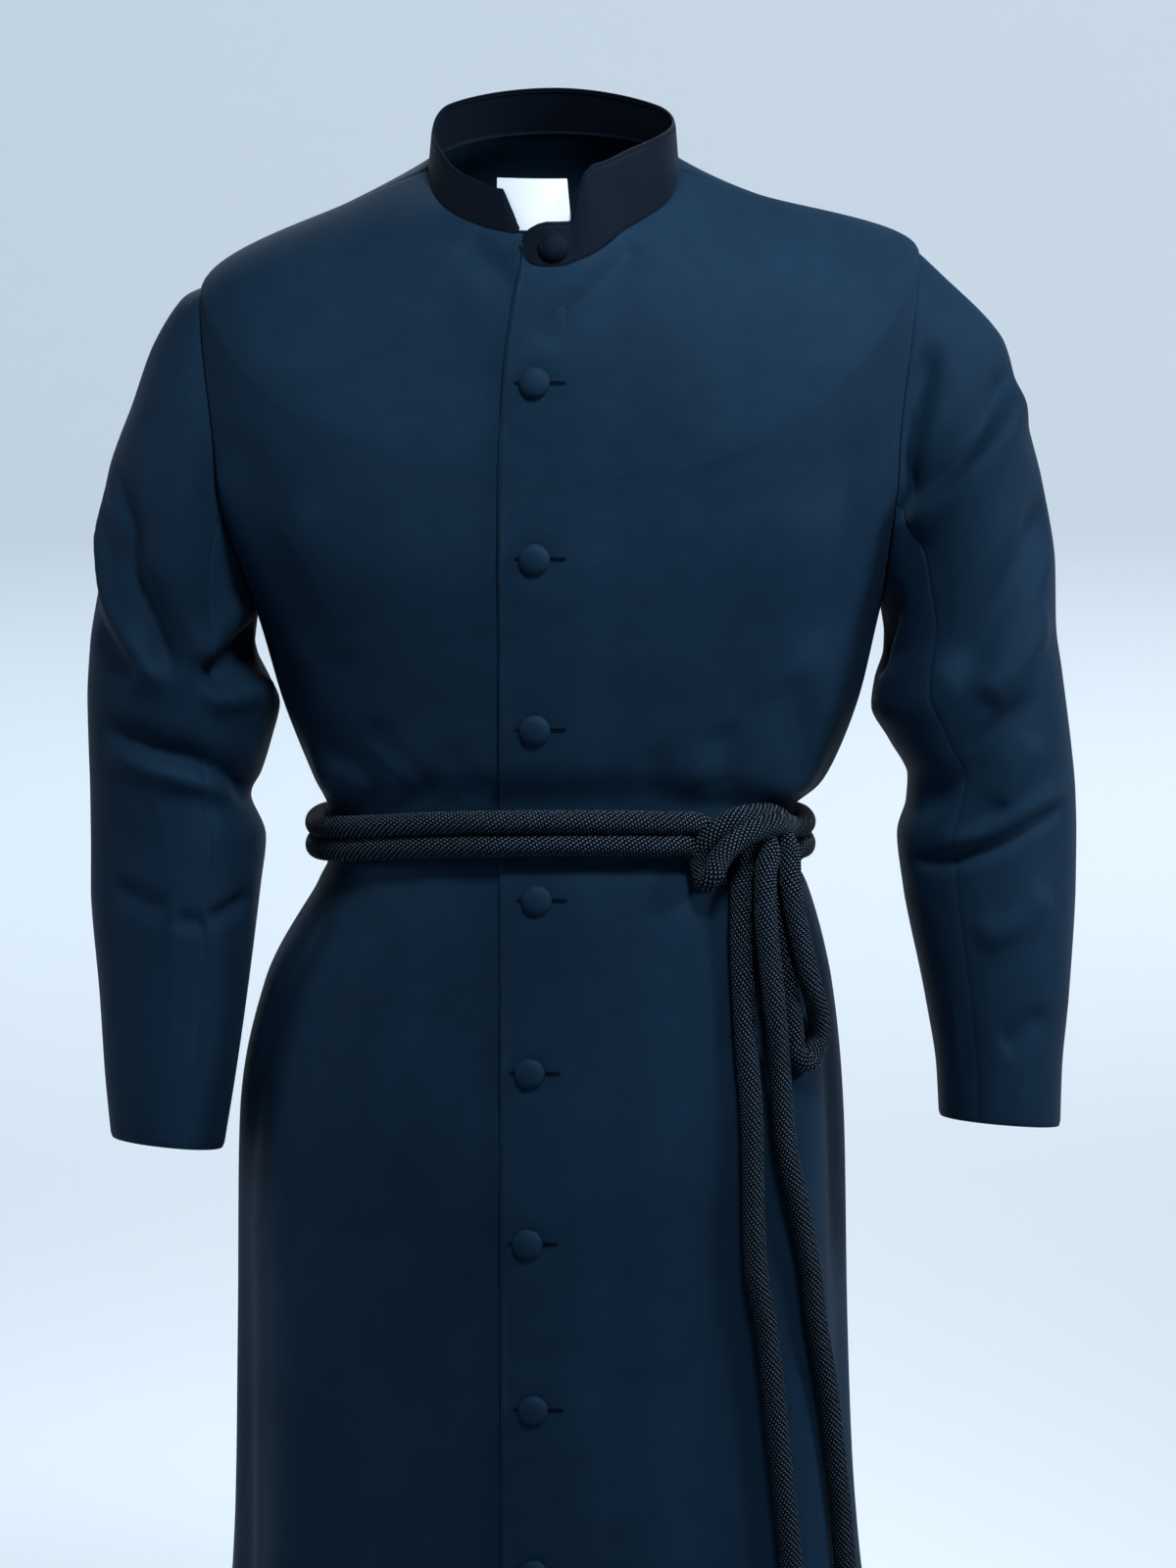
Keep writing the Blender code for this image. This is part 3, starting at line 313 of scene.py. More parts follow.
def wear_group():
    """Broad uneven patches where handling has brushed the nap."""
    tree, given, out = add_group(
        "Brushed nap",
        (("Place", "NodeSocketVector", None), ("Size", "NodeSocketFloat", NAP_SCALE)),
        (("Amount", "NodeSocketFloat"),),
    )
    patch = add_noise(tree, given.outputs["Place"], given.outputs["Size"], 3.0)
    spread = add_node(
        tree, "ShaderNodeMapRange", {"Value": patch, "From Min": NAP_FROM, "From Max": NAP_TO}
    )
    tree.links.new(spread.outputs[0], out.inputs["Amount"])
    return tree


TWILL = twill_group()
NAP = wear_group()


def cloth_material(name, dark, light, roughness, bump_distance=CLOTH_BUMP):
    """Cloth with the twill in its bump and tone, and the brushed nap in its roughness."""
    made = bpy.data.materials.new(name)
    made.use_nodes = True
    tree = made.node_tree
    shader = tree.nodes["Principled BSDF"]
    place = add_node(tree, "ShaderNodeUVMap", uv_map="UVMap").outputs[0]
    where = add_node(tree, "ShaderNodeTexCoord").outputs["Object"]
    weave = add_node(tree, "ShaderNodeGroup", node_tree=TWILL)
    tree.links.new(place, weave.inputs["Place"])
    nap = add_node(tree, "ShaderNodeGroup", node_tree=NAP)
    tree.links.new(where, nap.inputs["Place"])
    blend = add_blend(tree, weave.outputs["Tone"], WEAVE_TONE, nap.outputs["Amount"], NAP_TONE)
    gloss = add_math(tree, "MULTIPLY", nap.outputs["Amount"], NAP_GLOSS)
    rough = add_math(tree, "SUBTRACT", roughness, gloss)
    relief = add_node(
        tree, "ShaderNodeBump",
        {"Height": weave.outputs["Height"], "Distance": bump_distance, "Strength": CLOTH_BUMP_STRENGTH},
    )
    tree.links.new(add_colour(tree, dark, light, blend), shader.inputs["Base Color"])
    tree.links.new(rough, shader.inputs["Roughness"])
    tree.links.new(relief.outputs[0], shader.inputs["Normal"])
    shader.inputs["Specular IOR Level"].default_value = CLOTH_SPECULAR
    shader.inputs["Specular Tint"].default_value = (*BLUE_SHINE, 1.0)
    shader.inputs["Sheen Weight"].default_value = CLOTH_SHEEN
    shader.inputs["Sheen Roughness"].default_value = CLOTH_SHEEN_ROUGHNESS
    shader.inputs["Sheen Tint"].default_value = (*BLUE_SHINE, 1.0)
    return made


CLOTH_FINISH = cloth_material("cassock cloth", CLOTH_DARK, CLOTH_LIGHT, CLOTH_ROUGHNESS)

# Creases of the worn cloth: each a soft ridge or trough along a path on its surface, with
# its own height and its own widths to the left and right of the path, seen from outside.
FOLD_COLUMNS = ("path", "height", "left_width", "right_width")
FOLD_FADE = 0.22
PATH_STEPS = 8


def smooth_path(points, per_point):
    """Points read from a smooth curve through a path's own points."""
    points = np.array(points, dtype=float)
    steps = np.linspace(0.0, len(points) - 1.0, (len(points) - 1) * per_point + 1)
    padded = np.vstack((2 * points[0] - points[1], points, 2 * points[-1] - points[-2]))
    row = np.minimum(steps.astype(int), len(points) - 2)
    part = (steps - row)[:, None]
    a, b, c, d = (padded[row + shift] for shift in range(4))
    slope, bend, twist = c - a, 2 * a - 5 * b + 4 * c - d, 3 * (b - c) + d - a
    return b + 0.5 * part * (slope + part * (bend + part * twist))


def fold_lift(points, normals, folds, surface):
    """How far a table of folds lifts or sinks each point of a surface."""
    lift = np.zeros(points.shape[:-1])
    for row in folds:
        fold = named(FOLD_COLUMNS, row)
        places = smooth_path(fold["path"], PATH_STEPS)
        line = surface(places[:, 0], places[:, 1])
        nearest = np.full(points.shape[:-1], np.inf)
        share = np.zeros_like(nearest)
        side = np.ones_like(nearest)
        for step, (start, end) in enumerate(zip(line[:-1], line[1:])):
            run = end - start
            part = np.clip(((points - start) @ run) / (run @ run), 0.0, 1.0)
            offset = points - (start + part[..., None] * run)
            distance = np.linalg.norm(offset, axis=-1)
            closer = distance < nearest
            nearest = np.where(closer, distance, nearest)
            share = np.where(closer, (step + part) / (len(line) - 1.0), share)
            hand = np.sum(np.cross(run, offset) * normals, axis=-1)
            side = np.where(closer, np.sign(hand), side)
        width = np.where(side > 0.0, fold["left_width"], fold["right_width"])
        fade = smooth_step(share / FOLD_FADE) * smooth_step((1.0 - share) / FOLD_FADE)
        lift = lift + fold["height"] * fade * np.exp(-((nearest / width) ** 2))
    return lift


# The fronts and the back: three panels seamed at the shoulders, the armholes and the
# sides. The left front laps over the right and carries the buttonholes; the lap lies one
# cloth's thickness further out.
EDGE_STEPS = (0.0, 0.0022, 0.0050, 0.0085, 0.0140, 0.0220)
SEAM_SINK = 0.0007
SEAM_WIDTH = 0.0018
ARMHOLE_REACH = 28.0
ARMHOLE_ROUNDNESS = 0.6
LAP_NECK_X = -0.0185
LAP_LOWER_X = -0.0355
UNDERLAP_NECK_X = 0.0040
UNDERLAP_LOWER_X = 0.0120
LAP_FLAT_X = 0.012
LAP_FADE_X = 0.045
BUTTON_COLUMNS = ("x", "z")
FRONT_BUTTONS = (
    (-0.0120, -0.128), (-0.0120, -0.241), (-0.0120, -0.355), (-0.0113, -0.470),
    (-0.0160, -0.584), (-0.0176, -0.699), (-0.0141, -0.813), (-0.0141, -0.927),
    (-0.0141, -1.041), (-0.0141, -1.155),
)
PULL_HEIGHT = 0.0024
PULL_DIMPLE = 0.016
PULL_REACH = 0.034
EDGE_ROLL = 0.0006
EDGE_ROLL_INSET = 0.0020
EDGE_ROLL_WIDTH = 0.0010
NECK_DIP_COLUMNS = ("x", "level")
NECK_DIP = (
    (-0.0185, 0.12), (-0.0146, 0.34), (-0.0100, 0.42), (-0.0040, 0.44), (0.0040, 0.43),
    (0.0120, 0.37), (0.0206, 0.30), (0.0300, 0.20), (0.0450, 0.05), (0.0600, 0.0),
)
FRONT_COLUMNS = 60
BACK_COLUMNS = 90
BODY_ROWS = 290
BODY_END_ROWS = (0.0, 0.0008, 0.0018, 0.0032)
BODY_FIRST_ROW = 0.006
SPACING_ANGLE = -60.0
SPACING_LEVELS = 1501
SHARP_TURN = 50.0
FRONT_FOLDS = (
    (((-52, 0.25), (-66, 0.5), (-84, 0.93), (-96, 1.3)), -0.0048, 0.012, 0.008),
    (((-98, 1.7), (-94, 1.6), (-90, 1.5)), -0.0012, 0.008, 0.008),
    (((-37, 2.45), (-44, 2.9), (-42, 3.65), (-38, 4.6)), -0.0040, 0.016, 0.018),
    (((-56, 2.6), (-54, 3.3), (-50, 4.2), (-48, 5.2)), 0.0025, 0.022, 0.022),
    (((-50, 4.4), (-42, 5.0), (-34, 5.6), (-26, 6.2)), -0.0040, 0.014, 0.018),
    (((-62, 5.2), (-56, 5.8), (-52, 6.6)), -0.0030, 0.011, 0.013),
    (((-75, 5.6), (-71, 6.2), (-69, 6.9)), -0.0016, 0.010, 0.010),
    (((-46, 9.1), (-44, 10.0), (-42, 11.5)), -0.0035, 0.012, 0.016),
    (((-24, 9.0), (-20, 10.0), (-18, 12.0)), -0.0035, 0.014, 0.014),
    (((-62, 9.0), (-60, 10.0), (-59, 11.5)), 0.0020, 0.014, 0.014),
)
RIGHT_FRONT_FOLDS = (
    (((-130, 0.2), (-116, 0.4), (-105, 0.65), (-97, 1.0)), -0.0040, 0.009, 0.012),
    (((-147, 2.4), (-138, 2.9), (-137, 3.5), (-145, 4.3)), -0.0035, 0.016, 0.016),
    (((-126, 2.6), (-126, 3.4), (-128, 4.4)), 0.0022, 0.022, 0.022),
    (((-150, 5.1), (-142, 5.5), (-134, 6.1), (-129, 6.8)), -0.0048, 0.010, 0.014),
    (((-150, 5.7), (-144, 6.1), (-140, 6.6)), 0.0030, 0.010, 0.010),
    (((-132, 5.1), (-126, 5.6), (-120, 6.2), (-116, 6.8)), -0.0040, 0.010, 0.014),
    (((-112, 5.6), (-108, 6.2), (-106, 6.9)), -0.0018, 0.010, 0.010),
    (((-134, 9.0), (-136, 10.0), (-138, 12.0)), -0.0035, 0.014, 0.014),
    (((-155, 9.1), (-158, 10.0), (-161, 11.5)), -0.0030, 0.013, 0.013),
    (((-118, 9.0), (-119, 10.0), (-120, 11.5)), 0.0018, 0.014, 0.014),
)
BACK_FOLDS = (
    (((38, 2.3), (46, 2.9), (50, 3.7), (46, 4.8)), -0.0040, 0.016, 0.016),
    (((142, 2.3), (134, 2.9), (130, 3.7), (134, 4.8)), -0.0040, 0.016, 0.016),
    (((52, 4.6), (60, 5.3), (66, 6.2)), -0.0035, 0.013, 0.013),
    (((128, 4.6), (120, 5.3), (114, 6.2)), -0.0035, 0.013, 0.013),
    (((84, 4.8), (86, 5.6), (88, 6.8)), -0.0030, 0.014, 0.014),
    (((30, 5.2), (36, 5.8), (42, 6.7)), -0.0035, 0.012, 0.012),
    (((150, 5.2), (145, 5.8), (140, 6.7)), -0.0035, 0.012, 0.012),
    (((70, 9.1), (69, 10.2), (68, 12.0)), -0.0035, 0.014, 0.014),
    (((112, 9.1), (113, 10.2), (115, 12.0)), -0.0035, 0.014, 0.014),
    (((44, 9.1), (42, 10.0), (40, 11.5)), -0.0030, 0.013, 0.013),
    (((136, 9.1), (138, 10.0), (140, 11.5)), -0.0030, 0.013, 0.013),
)


def smooth_read(columns, rows, place):
    """The second column of a table at places in its first, joined by a soft curve."""
    x, y = (np.array([named(columns, row)[name] for row in rows], dtype=float) for name in columns)
    slope = np.diff(y) / np.diff(x)
    agree = slope[:-1] * slope[1:] > 0.0
    total = np.where(agree, slope[:-1] + slope[1:], 1.0)
    inner = np.where(agree, 2.0 * slope[:-1] * slope[1:] / total, 0.0)
    tangent = np.concatenate((slope[:1], inner, slope[-1:]))
    place = np.clip(np.asarray(place, dtype=float), x[0], x[-1])
    row = np.clip(np.searchsorted(x, place, side="right") - 1, 0, len(x) - 2)
    step = x[row + 1] - x[row]
    part = (place - x[row]) / step
    return (
        (1 + 2 * part) * (1 - part) ** 2 * y[row]
        + part * (1 - part) ** 2 * step * tangent[row]
        + part**2 * (3 - 2 * part) * y[row + 1]
        + part**2 * (part - 1) * step * tangent[row + 1]
    )


def armhole_angle(level):
    """How far round from the side the armhole's edge lies at a level."""
    share = (level - SHOULDER_LEVEL) / (UNDERARM_LEVEL - SHOULDER_LEVEL)
    open_part = np.sin(np.clip(share, 0.0, 1.0) * math.pi)
    return ARMHOLE_REACH * np.maximum(open_part, 0.0) ** ARMHOLE_ROUNDNESS


def side_edges(level, side):
    """Angles of the front's and back's edges at a side seam, 1 for the left side."""
    middle = 0.0 if side > 0 else 180.0
    stretch = np.linalg.norm(body(middle + BODY_TURN, level) - body(middle, level), axis=-1)
    reach = armhole_angle(level) + BODY_TURN * SEAM_GAP / 2.0 / stretch
    if side > 0:
        return -reach, reach
    return reach - 180.0, 180.0 - reach


def distances(points, axis=0):
    """How far each point lies from the first one, along its line of points."""
    steps = np.linalg.norm(np.diff(points, axis=axis), axis=-1)
    return np.insert(np.cumsum(steps, axis=axis), 0, 0.0, axis=axis)


def edged(count):
    """Places from 0 to 1, closer together beside both ends."""
    ends = np.array(EDGE_STEPS)
    middle = np.linspace(ends[-1], 1.0 - ends[-1], count)[1:-1]
    return np.concatenate((ends, middle, 1.0 - ends[::-1]))


def body_level_rows():
    """Levels down the body, evenly spaced along the cloth and close at the edges."""
    fine = np.linspace(0.0, HEM_LEVEL, SPACING_LEVELS)
    run = distances(body_form(np.full_like(fine, SPACING_ANGLE), fine))
    ends = np.array(BODY_END_ROWS)
    inner = np.linspace(BODY_FIRST_ROW, run[-1] - BODY_FIRST_ROW, BODY_ROWS)
    rows = np.interp(np.concatenate((ends, inner, run[-1] - ends[::-1])), run, fine)
    return np.unique(np.concatenate((rows, (SHOULDER_LEVEL, UNDERARM_LEVEL))))


def lap_lift(points):
    """How far the overlapping front lies off the body surface."""
    fade = smooth_step((points[..., 0] - LAP_FLAT_X) / (LAP_FADE_X - LAP_FLAT_X))
    return (CLOTH + LAP_GAP) * (1.0 - fade)


def button_pull(from_x, from_z):
    """How far the cloth stands up round a button that holds its middle down."""
    apart = np.hypot(from_x, from_z)
    held_down = np.exp(-((apart / PULL_DIMPLE) ** 2))
    return PULL_HEIGHT * (1.0 - held_down) * np.exp(-((apart / PULL_REACH) ** 2))


def grid_normals(points, towards):
    """Directions out of a grid of points, on the side that the given ones point to."""
    across = np.gradient(points, axis=1)
    down = np.gradient(points, axis=0)
    normals = unit(np.cross(down, across))
    return normals * np.sign(np.sum(normals * towards, axis=-1, keepdims=True))


def seam_sink(points, columns=(True, True), rows=(True, True)):
    """How far the cloth dips where its edge is turned under, by distance to the edge."""
    sink = np.zeros(points.shape[:2])
    for axis, ends in ((1, columns), (0, rows)):
        start = distances(points, axis)
        whole = np.take(start, [-1], axis=axis)
        for used, distance in zip(ends, (start, whole - start)):
            if used:
                sink = np.maximum(sink, np.exp(-((distance / SEAM_WIDTH) ** 2)))
    return sink * SEAM_SINK


def cloth_uv(points):
    """Places on the cloth in metres: across along each row, and down its middle column."""
    across = distances(points, 1)
    middle = points.shape[1] // 2
    down = np.repeat(distances(points[:, middle])[:, None], points.shape[1], axis=1)
    return np.stack((across - across[:, middle : middle + 1], down), axis=-1)


def add_object(name, data):
    """An object of a mesh, a light or a camera, in the scene."""
    made = bpy.data.objects.new(name, data)
    bpy.context.scene.collection.objects.link(made)
    return made


def thin_wall(name, outer, normals, finish, thickness=CLOTH):
    """A closed thin shell between a grid of outer points and the same points moved in."""
    rows, columns = outer.shape[:2]
    count = rows * columns
    inner = outer - normals * thickness
    number = np.arange(count).reshape(rows, columns)
    a, b, c, d = number[:-1, :-1], number[:-1, 1:], number[1:, 1:], number[1:, :-1]
    quads = np.stack((a, b, c, d), axis=-1).reshape(-1, 4)
    rim = np.concatenate((number[0, :], number[1:, -1], number[-1, -2::-1], number[-2:0:-1, 0]))
    row, column = rows // 2, columns // 2
    across, down = (outer[row, column + 1], outer[row + 1, column]) - outer[row, column]
    if np.cross(across, down) @ normals[row, column] < 0.0:
        quads = quads[:, ::-1]
    else:
        rim = rim[::-1]
    after = np.roll(rim, -1)
    edge = np.stack((rim, after, after + count, rim + count), axis=-1)
    faces = np.concatenate((quads, quads[:, ::-1] + count, edge))
    mesh = bpy.data.meshes.new(name)
    mesh.from_pydata(np.concatenate((outer.reshape(-1, 3), inner.reshape(-1, 3))), [], faces.tolist())
    places = cloth_uv(outer).reshape(-1, 2)
    layer = mesh.uv_layers.new(name="UVMap")
    loops = np.empty(len(mesh.loops), dtype=int)
    mesh.loops.foreach_get("vertex_index", loops)
    layer.data.foreach_set("uv", np.vstack((places, places))[loops].ravel())
    mesh.shade_smooth()
    mesh.set_sharp_from_angle(angle=math.radians(SHARP_TURN))
    mesh.materials.append(finish)
    return add_object(name, mesh)


def cloth_piece(node, points, towards, edges=(), finish=CLOTH_FINISH):
    """A shell of cloth over a node's own form, which takes the node's place."""
    normals = grid_normals(points, towards)
    points = points - normals * seam_sink(points, *edges)[..., None]
    made = thin_wall(f"{node}_cloth", points, grid_normals(points, towards), finish)
    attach(made, "root")
    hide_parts(node)


def folded_body(angle, level, folds):
    """Points of the body surface with a table of creases."""
    points = body(angle, level)
    normals = body_normal(body, angle, level)
    return points + normals * fold_lift(points, normals, folds, body)[..., None], normals


def lap_edge(level, neck_x, lower_x):
    """The angle of a line beside the closing edge."""
    spread = smooth_step(level / SHOULDER_LEVEL)
    return angle_at_x(neck_x + (lower_x - neck_x) * spread, level)


def panel_grid(level, start, end, share):
    """Angles and levels of a panel, from its edge at the start to its edge at the end."""
    angle = start[:, None] + (end - start)[:, None] * share[None, :]
    return angle, np.repeat(level[:, None], len(share), axis=1)


def left_front(level, share):
    """Angles and levels of the overlapping front, from its closing edge to its side."""
    start = lap_edge(level, LAP_NECK_X, LAP_LOWER_X)
    end, _ = side_edges(level, 1)
    angle, levels = panel_grid(level, start, end, share)
    dip = smooth_read(NECK_DIP_COLUMNS, NECK_DIP, body_form(angle[0], 0.0)[:, 0])
    fitted = dip + levels * (YOKE_LEVEL - dip) / YOKE_LEVEL
    return angle, np.where(levels < YOKE_LEVEL, fitted, levels)


LEVEL_ROWS = body_level_rows()
SHARES = edged(FRONT_COLUMNS)
front_points, front_out = folded_body(*left_front(LEVEL_ROWS, SHARES), FRONT_FOLDS)
front_lift = lap_lift(front_points)
for row in FRONT_BUTTONS:
    at = named(BUTTON_COLUMNS, row)
    from_x, from_z = front_points[..., 0] - at["x"], front_points[..., 2] - at["z"]
    front_lift = front_lift + button_pull(from_x, from_z)
from_roll = (distances(front_points, 1) - EDGE_ROLL_INSET) / EDGE_ROLL_WIDTH
front_lift = front_lift + EDGE_ROLL * np.exp(-(from_roll**2))
front_points = front_points + front_out * front_lift[..., None]
cloth_piece("front_left", front_points, front_out)

under_start = lap_edge(LEVEL_ROWS, UNDERLAP_NECK_X, UNDERLAP_LOWER_X)
under_end, back_end = side_edges(LEVEL_ROWS, -1)
right_grid = panel_grid(LEVEL_ROWS, under_start, under_end, SHARES)
right_points, right_out = folded_body(*right_grid, RIGHT_FRONT_FOLDS)
cloth_piece("front_right", right_points, right_out)

_, back_start = side_edges(LEVEL_ROWS, 1)
back_grid = panel_grid(LEVEL_ROWS, back_start, back_end, edged(BACK_COLUMNS))
back_points, back_out = folded_body(*back_grid, BACK_FOLDS)
cloth_piece("back", back_points, back_out)

# The sleeves: each a wide top piece and a narrower under piece, seamed down the front and
# the back of the arm and set into the armhole. They are worn bent, so the cloth breaks
# into folds off the armhole and at the elbow.
SLEEVE_COLUMNS = (
    "outer_x", "outer_z", "inner_x", "inner_z", "middle_y", "half_depth", "square",
)
LEFT_SLEEVE = (
    (0.2420, -0.0530, 0.2200, -0.2900, 0.000, 0.075, 2.1),
    (0.2600, -0.0700, 0.2205, -0.2970, 0.000, 0.077, 2.1),
    (0.3000, -0.1130, 0.2215, -0.3050, 0.000, 0.080, 2.1),
    (0.3098, -0.1480, 0.2225, -0.3150, -0.001, 0.082, 2.1),
    (0.3270, -0.2087, 0.2220, -0.3270, -0.002, 0.082, 2.1),
    (0.3363, -0.2630, 0.2165, -0.3450, -0.003, 0.081, 2.2),
    (0.3376, -0.3038, 0.2145, -0.3620, -0.005, 0.080, 2.2),
    (0.3420, -0.3350, 0.2265, -0.3840, -0.007, 0.078, 2.2),
    (0.3490, -0.3855, 0.2395, -0.4085, -0.010, 0.075, 2.2),
    (0.3523, -0.4165, 0.2385, -0.4250, -0.012, 0.072, 2.2),
    (0.3535, -0.4500, 0.2325, -0.4480, -0.015, 0.070, 2.2),
    (0.3531, -0.4850, 0.2370, -0.4850, -0.021, 0.067, 2.2),
    (0.3494, -0.5540, 0.2515, -0.5540, -0.030, 0.060, 2.2),
    (0.3449, -0.6050, 0.2600, -0.6050, -0.038, 0.056, 2.2),
    (0.3438, -0.6438, 0.2617, -0.6370, -0.045, 0.052, 2.2),
)
RIGHT_SLEEVE = (
    (-0.2340, -0.0770, -0.2000, -0.2950, 0.000, 0.075, 2.1),
    (-0.2460, -0.0830, -0.2005, -0.3020, 0.000, 0.077, 2.1),
    (-0.2660, -0.1135, -0.2015, -0.3100, 0.000, 0.080, 2.1),
    (-0.2810, -0.1540, -0.2025, -0.3200, -0.001, 0.082, 2.1),
    (-0.2995, -0.2087, -0.2000, -0.3310, -0.002, 0.082, 2.1),
    (-0.3036, -0.2630, -0.1925, -0.3450, -0.003, 0.081, 2.2),
    (-0.3125, -0.3175, -0.1860, -0.3600, -0.005, 0.080, 2.2),
    (-0.3150, -0.3570, -0.1915, -0.3830, -0.007, 0.078, 2.2),
    (-0.3145, -0.3900, -0.1985, -0.4050, -0.010, 0.075, 2.2),
    (-0.3140, -0.4165, -0.2060, -0.4220, -0.012, 0.072, 2.2),
    (-0.3140, -0.4500, -0.1960, -0.4500, -0.015, 0.070, 2.2),
    (-0.3142, -0.4850, -0.2000, -0.4850, -0.021, 0.067, 2.2),
    (-0.3090, -0.5540, -0.2090, -0.5540, -0.030, 0.060, 2.2),
    (-0.3056, -0.6100, -0.2165, -0.6050, -0.038, 0.056, 2.2),
    (-0.3017, -0.6510, -0.2257, -0.6600, -0.045, 0.052, 2.2),
)
SLEEVE_HEAD_SECTIONS = 4
CUFF_LEAN = 0.2
SLEEVE_TURN = 2.0
SLEEVE_DROP = 0.05
SEAM_FADE_SECTION = 0.6
SLEEVE_SEAM_TURN = 115.0
SLEEVE_STEP = 0.0035
SLEEVE_END_ROWS = (0.0, 0.0007, 0.0016, 0.0030)
SLEEVE_FIRST_ROW = 0.0055
SLEEVE_LAST_ROW = 0.0045
SLEEVE_LAST = 14.0
SLEEVE_SPACING = 600
TOP_COLUMNS = 66
UNDER_COLUMNS = 34
LEFT_FOLDS = (
    (((26, 0.95), (44, 0.9), (66, 0.75), (101, 0.45), (129, 0.3)), -0.0080, 0.008, 0.012),
    (((1, 2.65), (23, 2.9), (52, 2.65), (75, 2.15), (98, 1.55), (127, 0.5)), 0.0090, 0.020, 0.0055),
    (((4, 2.35), (24, 2.60), (52, 2.36), (75, 1.86), (98, 1.24), (122, 0.5)), -0.0105, 0.0055, 0.020),
    (((14, 4.1), (40, 4.4), (66, 4.75), (86, 5.3), (104, 6.0)), -0.0105, 0.014, 0.018),
    (((27, 5.55), (72, 6.3), (89, 6.6)), 0.0060, 0.012, 0.012),
    (((151, 0.8), (172, 2.25), (176, 5.1)), -0.0080, 0.012, 0.012),
    (((45, 7.0), (93, 7.45), (120, 8.35), (154, 9.4)), -0.0080, 0.010, 0.010),
    (((59, 7.6), (80, 8.15), (93, 9.2)), 0.0050, 0.009, 0.009),
    (((33, 9.05), (56, 9.4), (69, 9.6), (98, 10.2), (130, 10.45), (162, 10.35)),
     -0.0060, 0.006, 0.006),
    (((33, 8.7), (69, 9.2), (98, 9.8), (130, 10.05)), 0.0045, 0.007, 0.007),
    (((52, 10.9), (78, 11.3), (109, 11.45)), 0.0045, 0.010, 0.010),
    (((128, 11.55), (132, 12.55), (130, 13.9)), 0.0012, 0.003, 0.003),
    (((53, 12.1), (80, 12.45), (94, 12.6)), -0.0045, 0.009, 0.009),
    (((290, 1.2), (270, 2.2), (240, 2.8), (214, 2.6)), -0.0055, 0.012, 0.014),
    (((320, 3.6), (290, 4.6), (262, 5.3), (230, 5.6)), -0.0050, 0.014, 0.014),
    (((316, 4.8), (286, 5.8), (256, 6.4)), 0.0035, 0.014, 0.014),
    (((196, 7.0), (226, 7.8), (262, 8.2), (300, 8.1)), -0.0050, 0.012, 0.012),
    (((200, 9.2), (236, 10.0), (280, 10.2)), -0.0040, 0.009, 0.010),
    (((250, 11.0), (255, 12.4), (252, 13.9)), 0.0012, 0.003, 0.003),
)
RIGHT_FOLDS = (
    (((4, 3.5), (48, 3.95), (54, 4.55), (70, 4.95), (82, 5.45), (94, 5.75)), -0.0105, 0.014, 0.007),
    (((6, 3.9), (24, 4.6), (36, 5.05), (58, 5.45), (75, 5.85), (89, 6.3)), 0.0085, 0.007, 0.013),
    (((96, 5.65), (119, 4.35), (144, 2.35), (165, 0.9)), 0.0070, 0.012, 0.006),
    (((99, 5.85), (125, 4.85), (160, 3.2), (180, 2.1)), -0.0115, 0.009, 0.011),
    (((103, 6.2), (125, 5.85), (150, 5.4), (179, 4.75)), 0.0070, 0.007, 0.009),
    (((29, 5.65), (55, 5.9), (70, 6.05)), -0.0055, 0.009, 0.009),
    (((37, 7.3), (63, 7.4), (84, 7.6), (108, 7.75), (144, 8.4), (174, 8.9)), -0.0092, 0.011, 0.007),
    (((41, 7.75), (73, 7.9), (96, 8.1), (126, 8.35), (160, 9.0)), 0.0060, 0.006, 0.010),
    (((84, 7.95), (88, 9.8), (93, 11.25), (92, 13.9)), 0.0012, 0.003, 0.003),
    (((46, 10.8), (78, 11.1), (91, 11.2)), -0.0045, 0.008, 0.008),
    (((93, 11.25), (105, 11.3), (116, 11.3)), -0.0035, 0.006, 0.006),
    (((115, 11.3), (133, 11.2), (158, 11.05)), -0.0055, 0.007, 0.007),
    (((32, 2.2), (60, 3.0), (84, 4.15)), -0.0025, 0.016, 0.018),
    (((292, 1.4), (272, 2.6), (246, 3.4), (216, 3.6)), -0.0055, 0.014, 0.012),
    (((322, 3.8), (294, 4.8), (264, 5.5), (232, 5.9)), -0.0055, 0.014, 0.012),
    (((318, 5.0), (288, 6.0), (258, 6.6)), 0.0038, 0.014, 0.014),
    (((192, 7.2), (226, 8.1), (264, 8.5), (302, 8.3)), -0.0050, 0.012, 0.012),
    (((202, 9.6), (238, 10.4), (282, 10.8)), -0.0038, 0.009, 0.010),
    (((252, 11.0), (256, 12.4), (254, 13.9)), 0.0012, 0.003, 0.003),
)


def armhole_loop(turn, side):
    """The armhole's edge: 0 at the shoulder, 90 at the front, 180 under the arm."""
    turn = np.asarray(turn, dtype=float) % 360.0
    front = turn <= 180.0
    share = np.where(front, turn, 360.0 - turn) / 180.0
    level = SHOULDER_LEVEL + (UNDERARM_LEVEL - SHOULDER_LEVEL) * share
    front_edge, back_edge = side_edges(level, side)
    return body(np.where(front, front_edge, back_edge), level)


def sleeve_frame(table, section):
    """Middle, half sizes and directions of a sleeve's section."""
    sizes = along(table, section)
    size = {name: sizes[..., column] for column, name in enumerate(SLEEVE_COLUMNS)}
    outer = np.stack((size["outer_x"], size["middle_y"], size["outer_z"]), axis=-1)
    inner = np.stack((size["inner_x"], size["middle_y"], size["inner_z"]), axis=-1)
    middle = (outer + inner) / 2.0
    across = unit(outer - inner)
    half_width = np.linalg.norm(outer - inner, axis=-1) / 2.0
    lean = CUFF_LEAN * np.asarray(section, dtype=float) / (len(table) - 1.0)
    forward = unit(np.stack((np.zeros_like(lean), -np.ones_like(lean), lean), axis=-1))
    return middle, across, forward, half_width, size["half_depth"], size["square"]


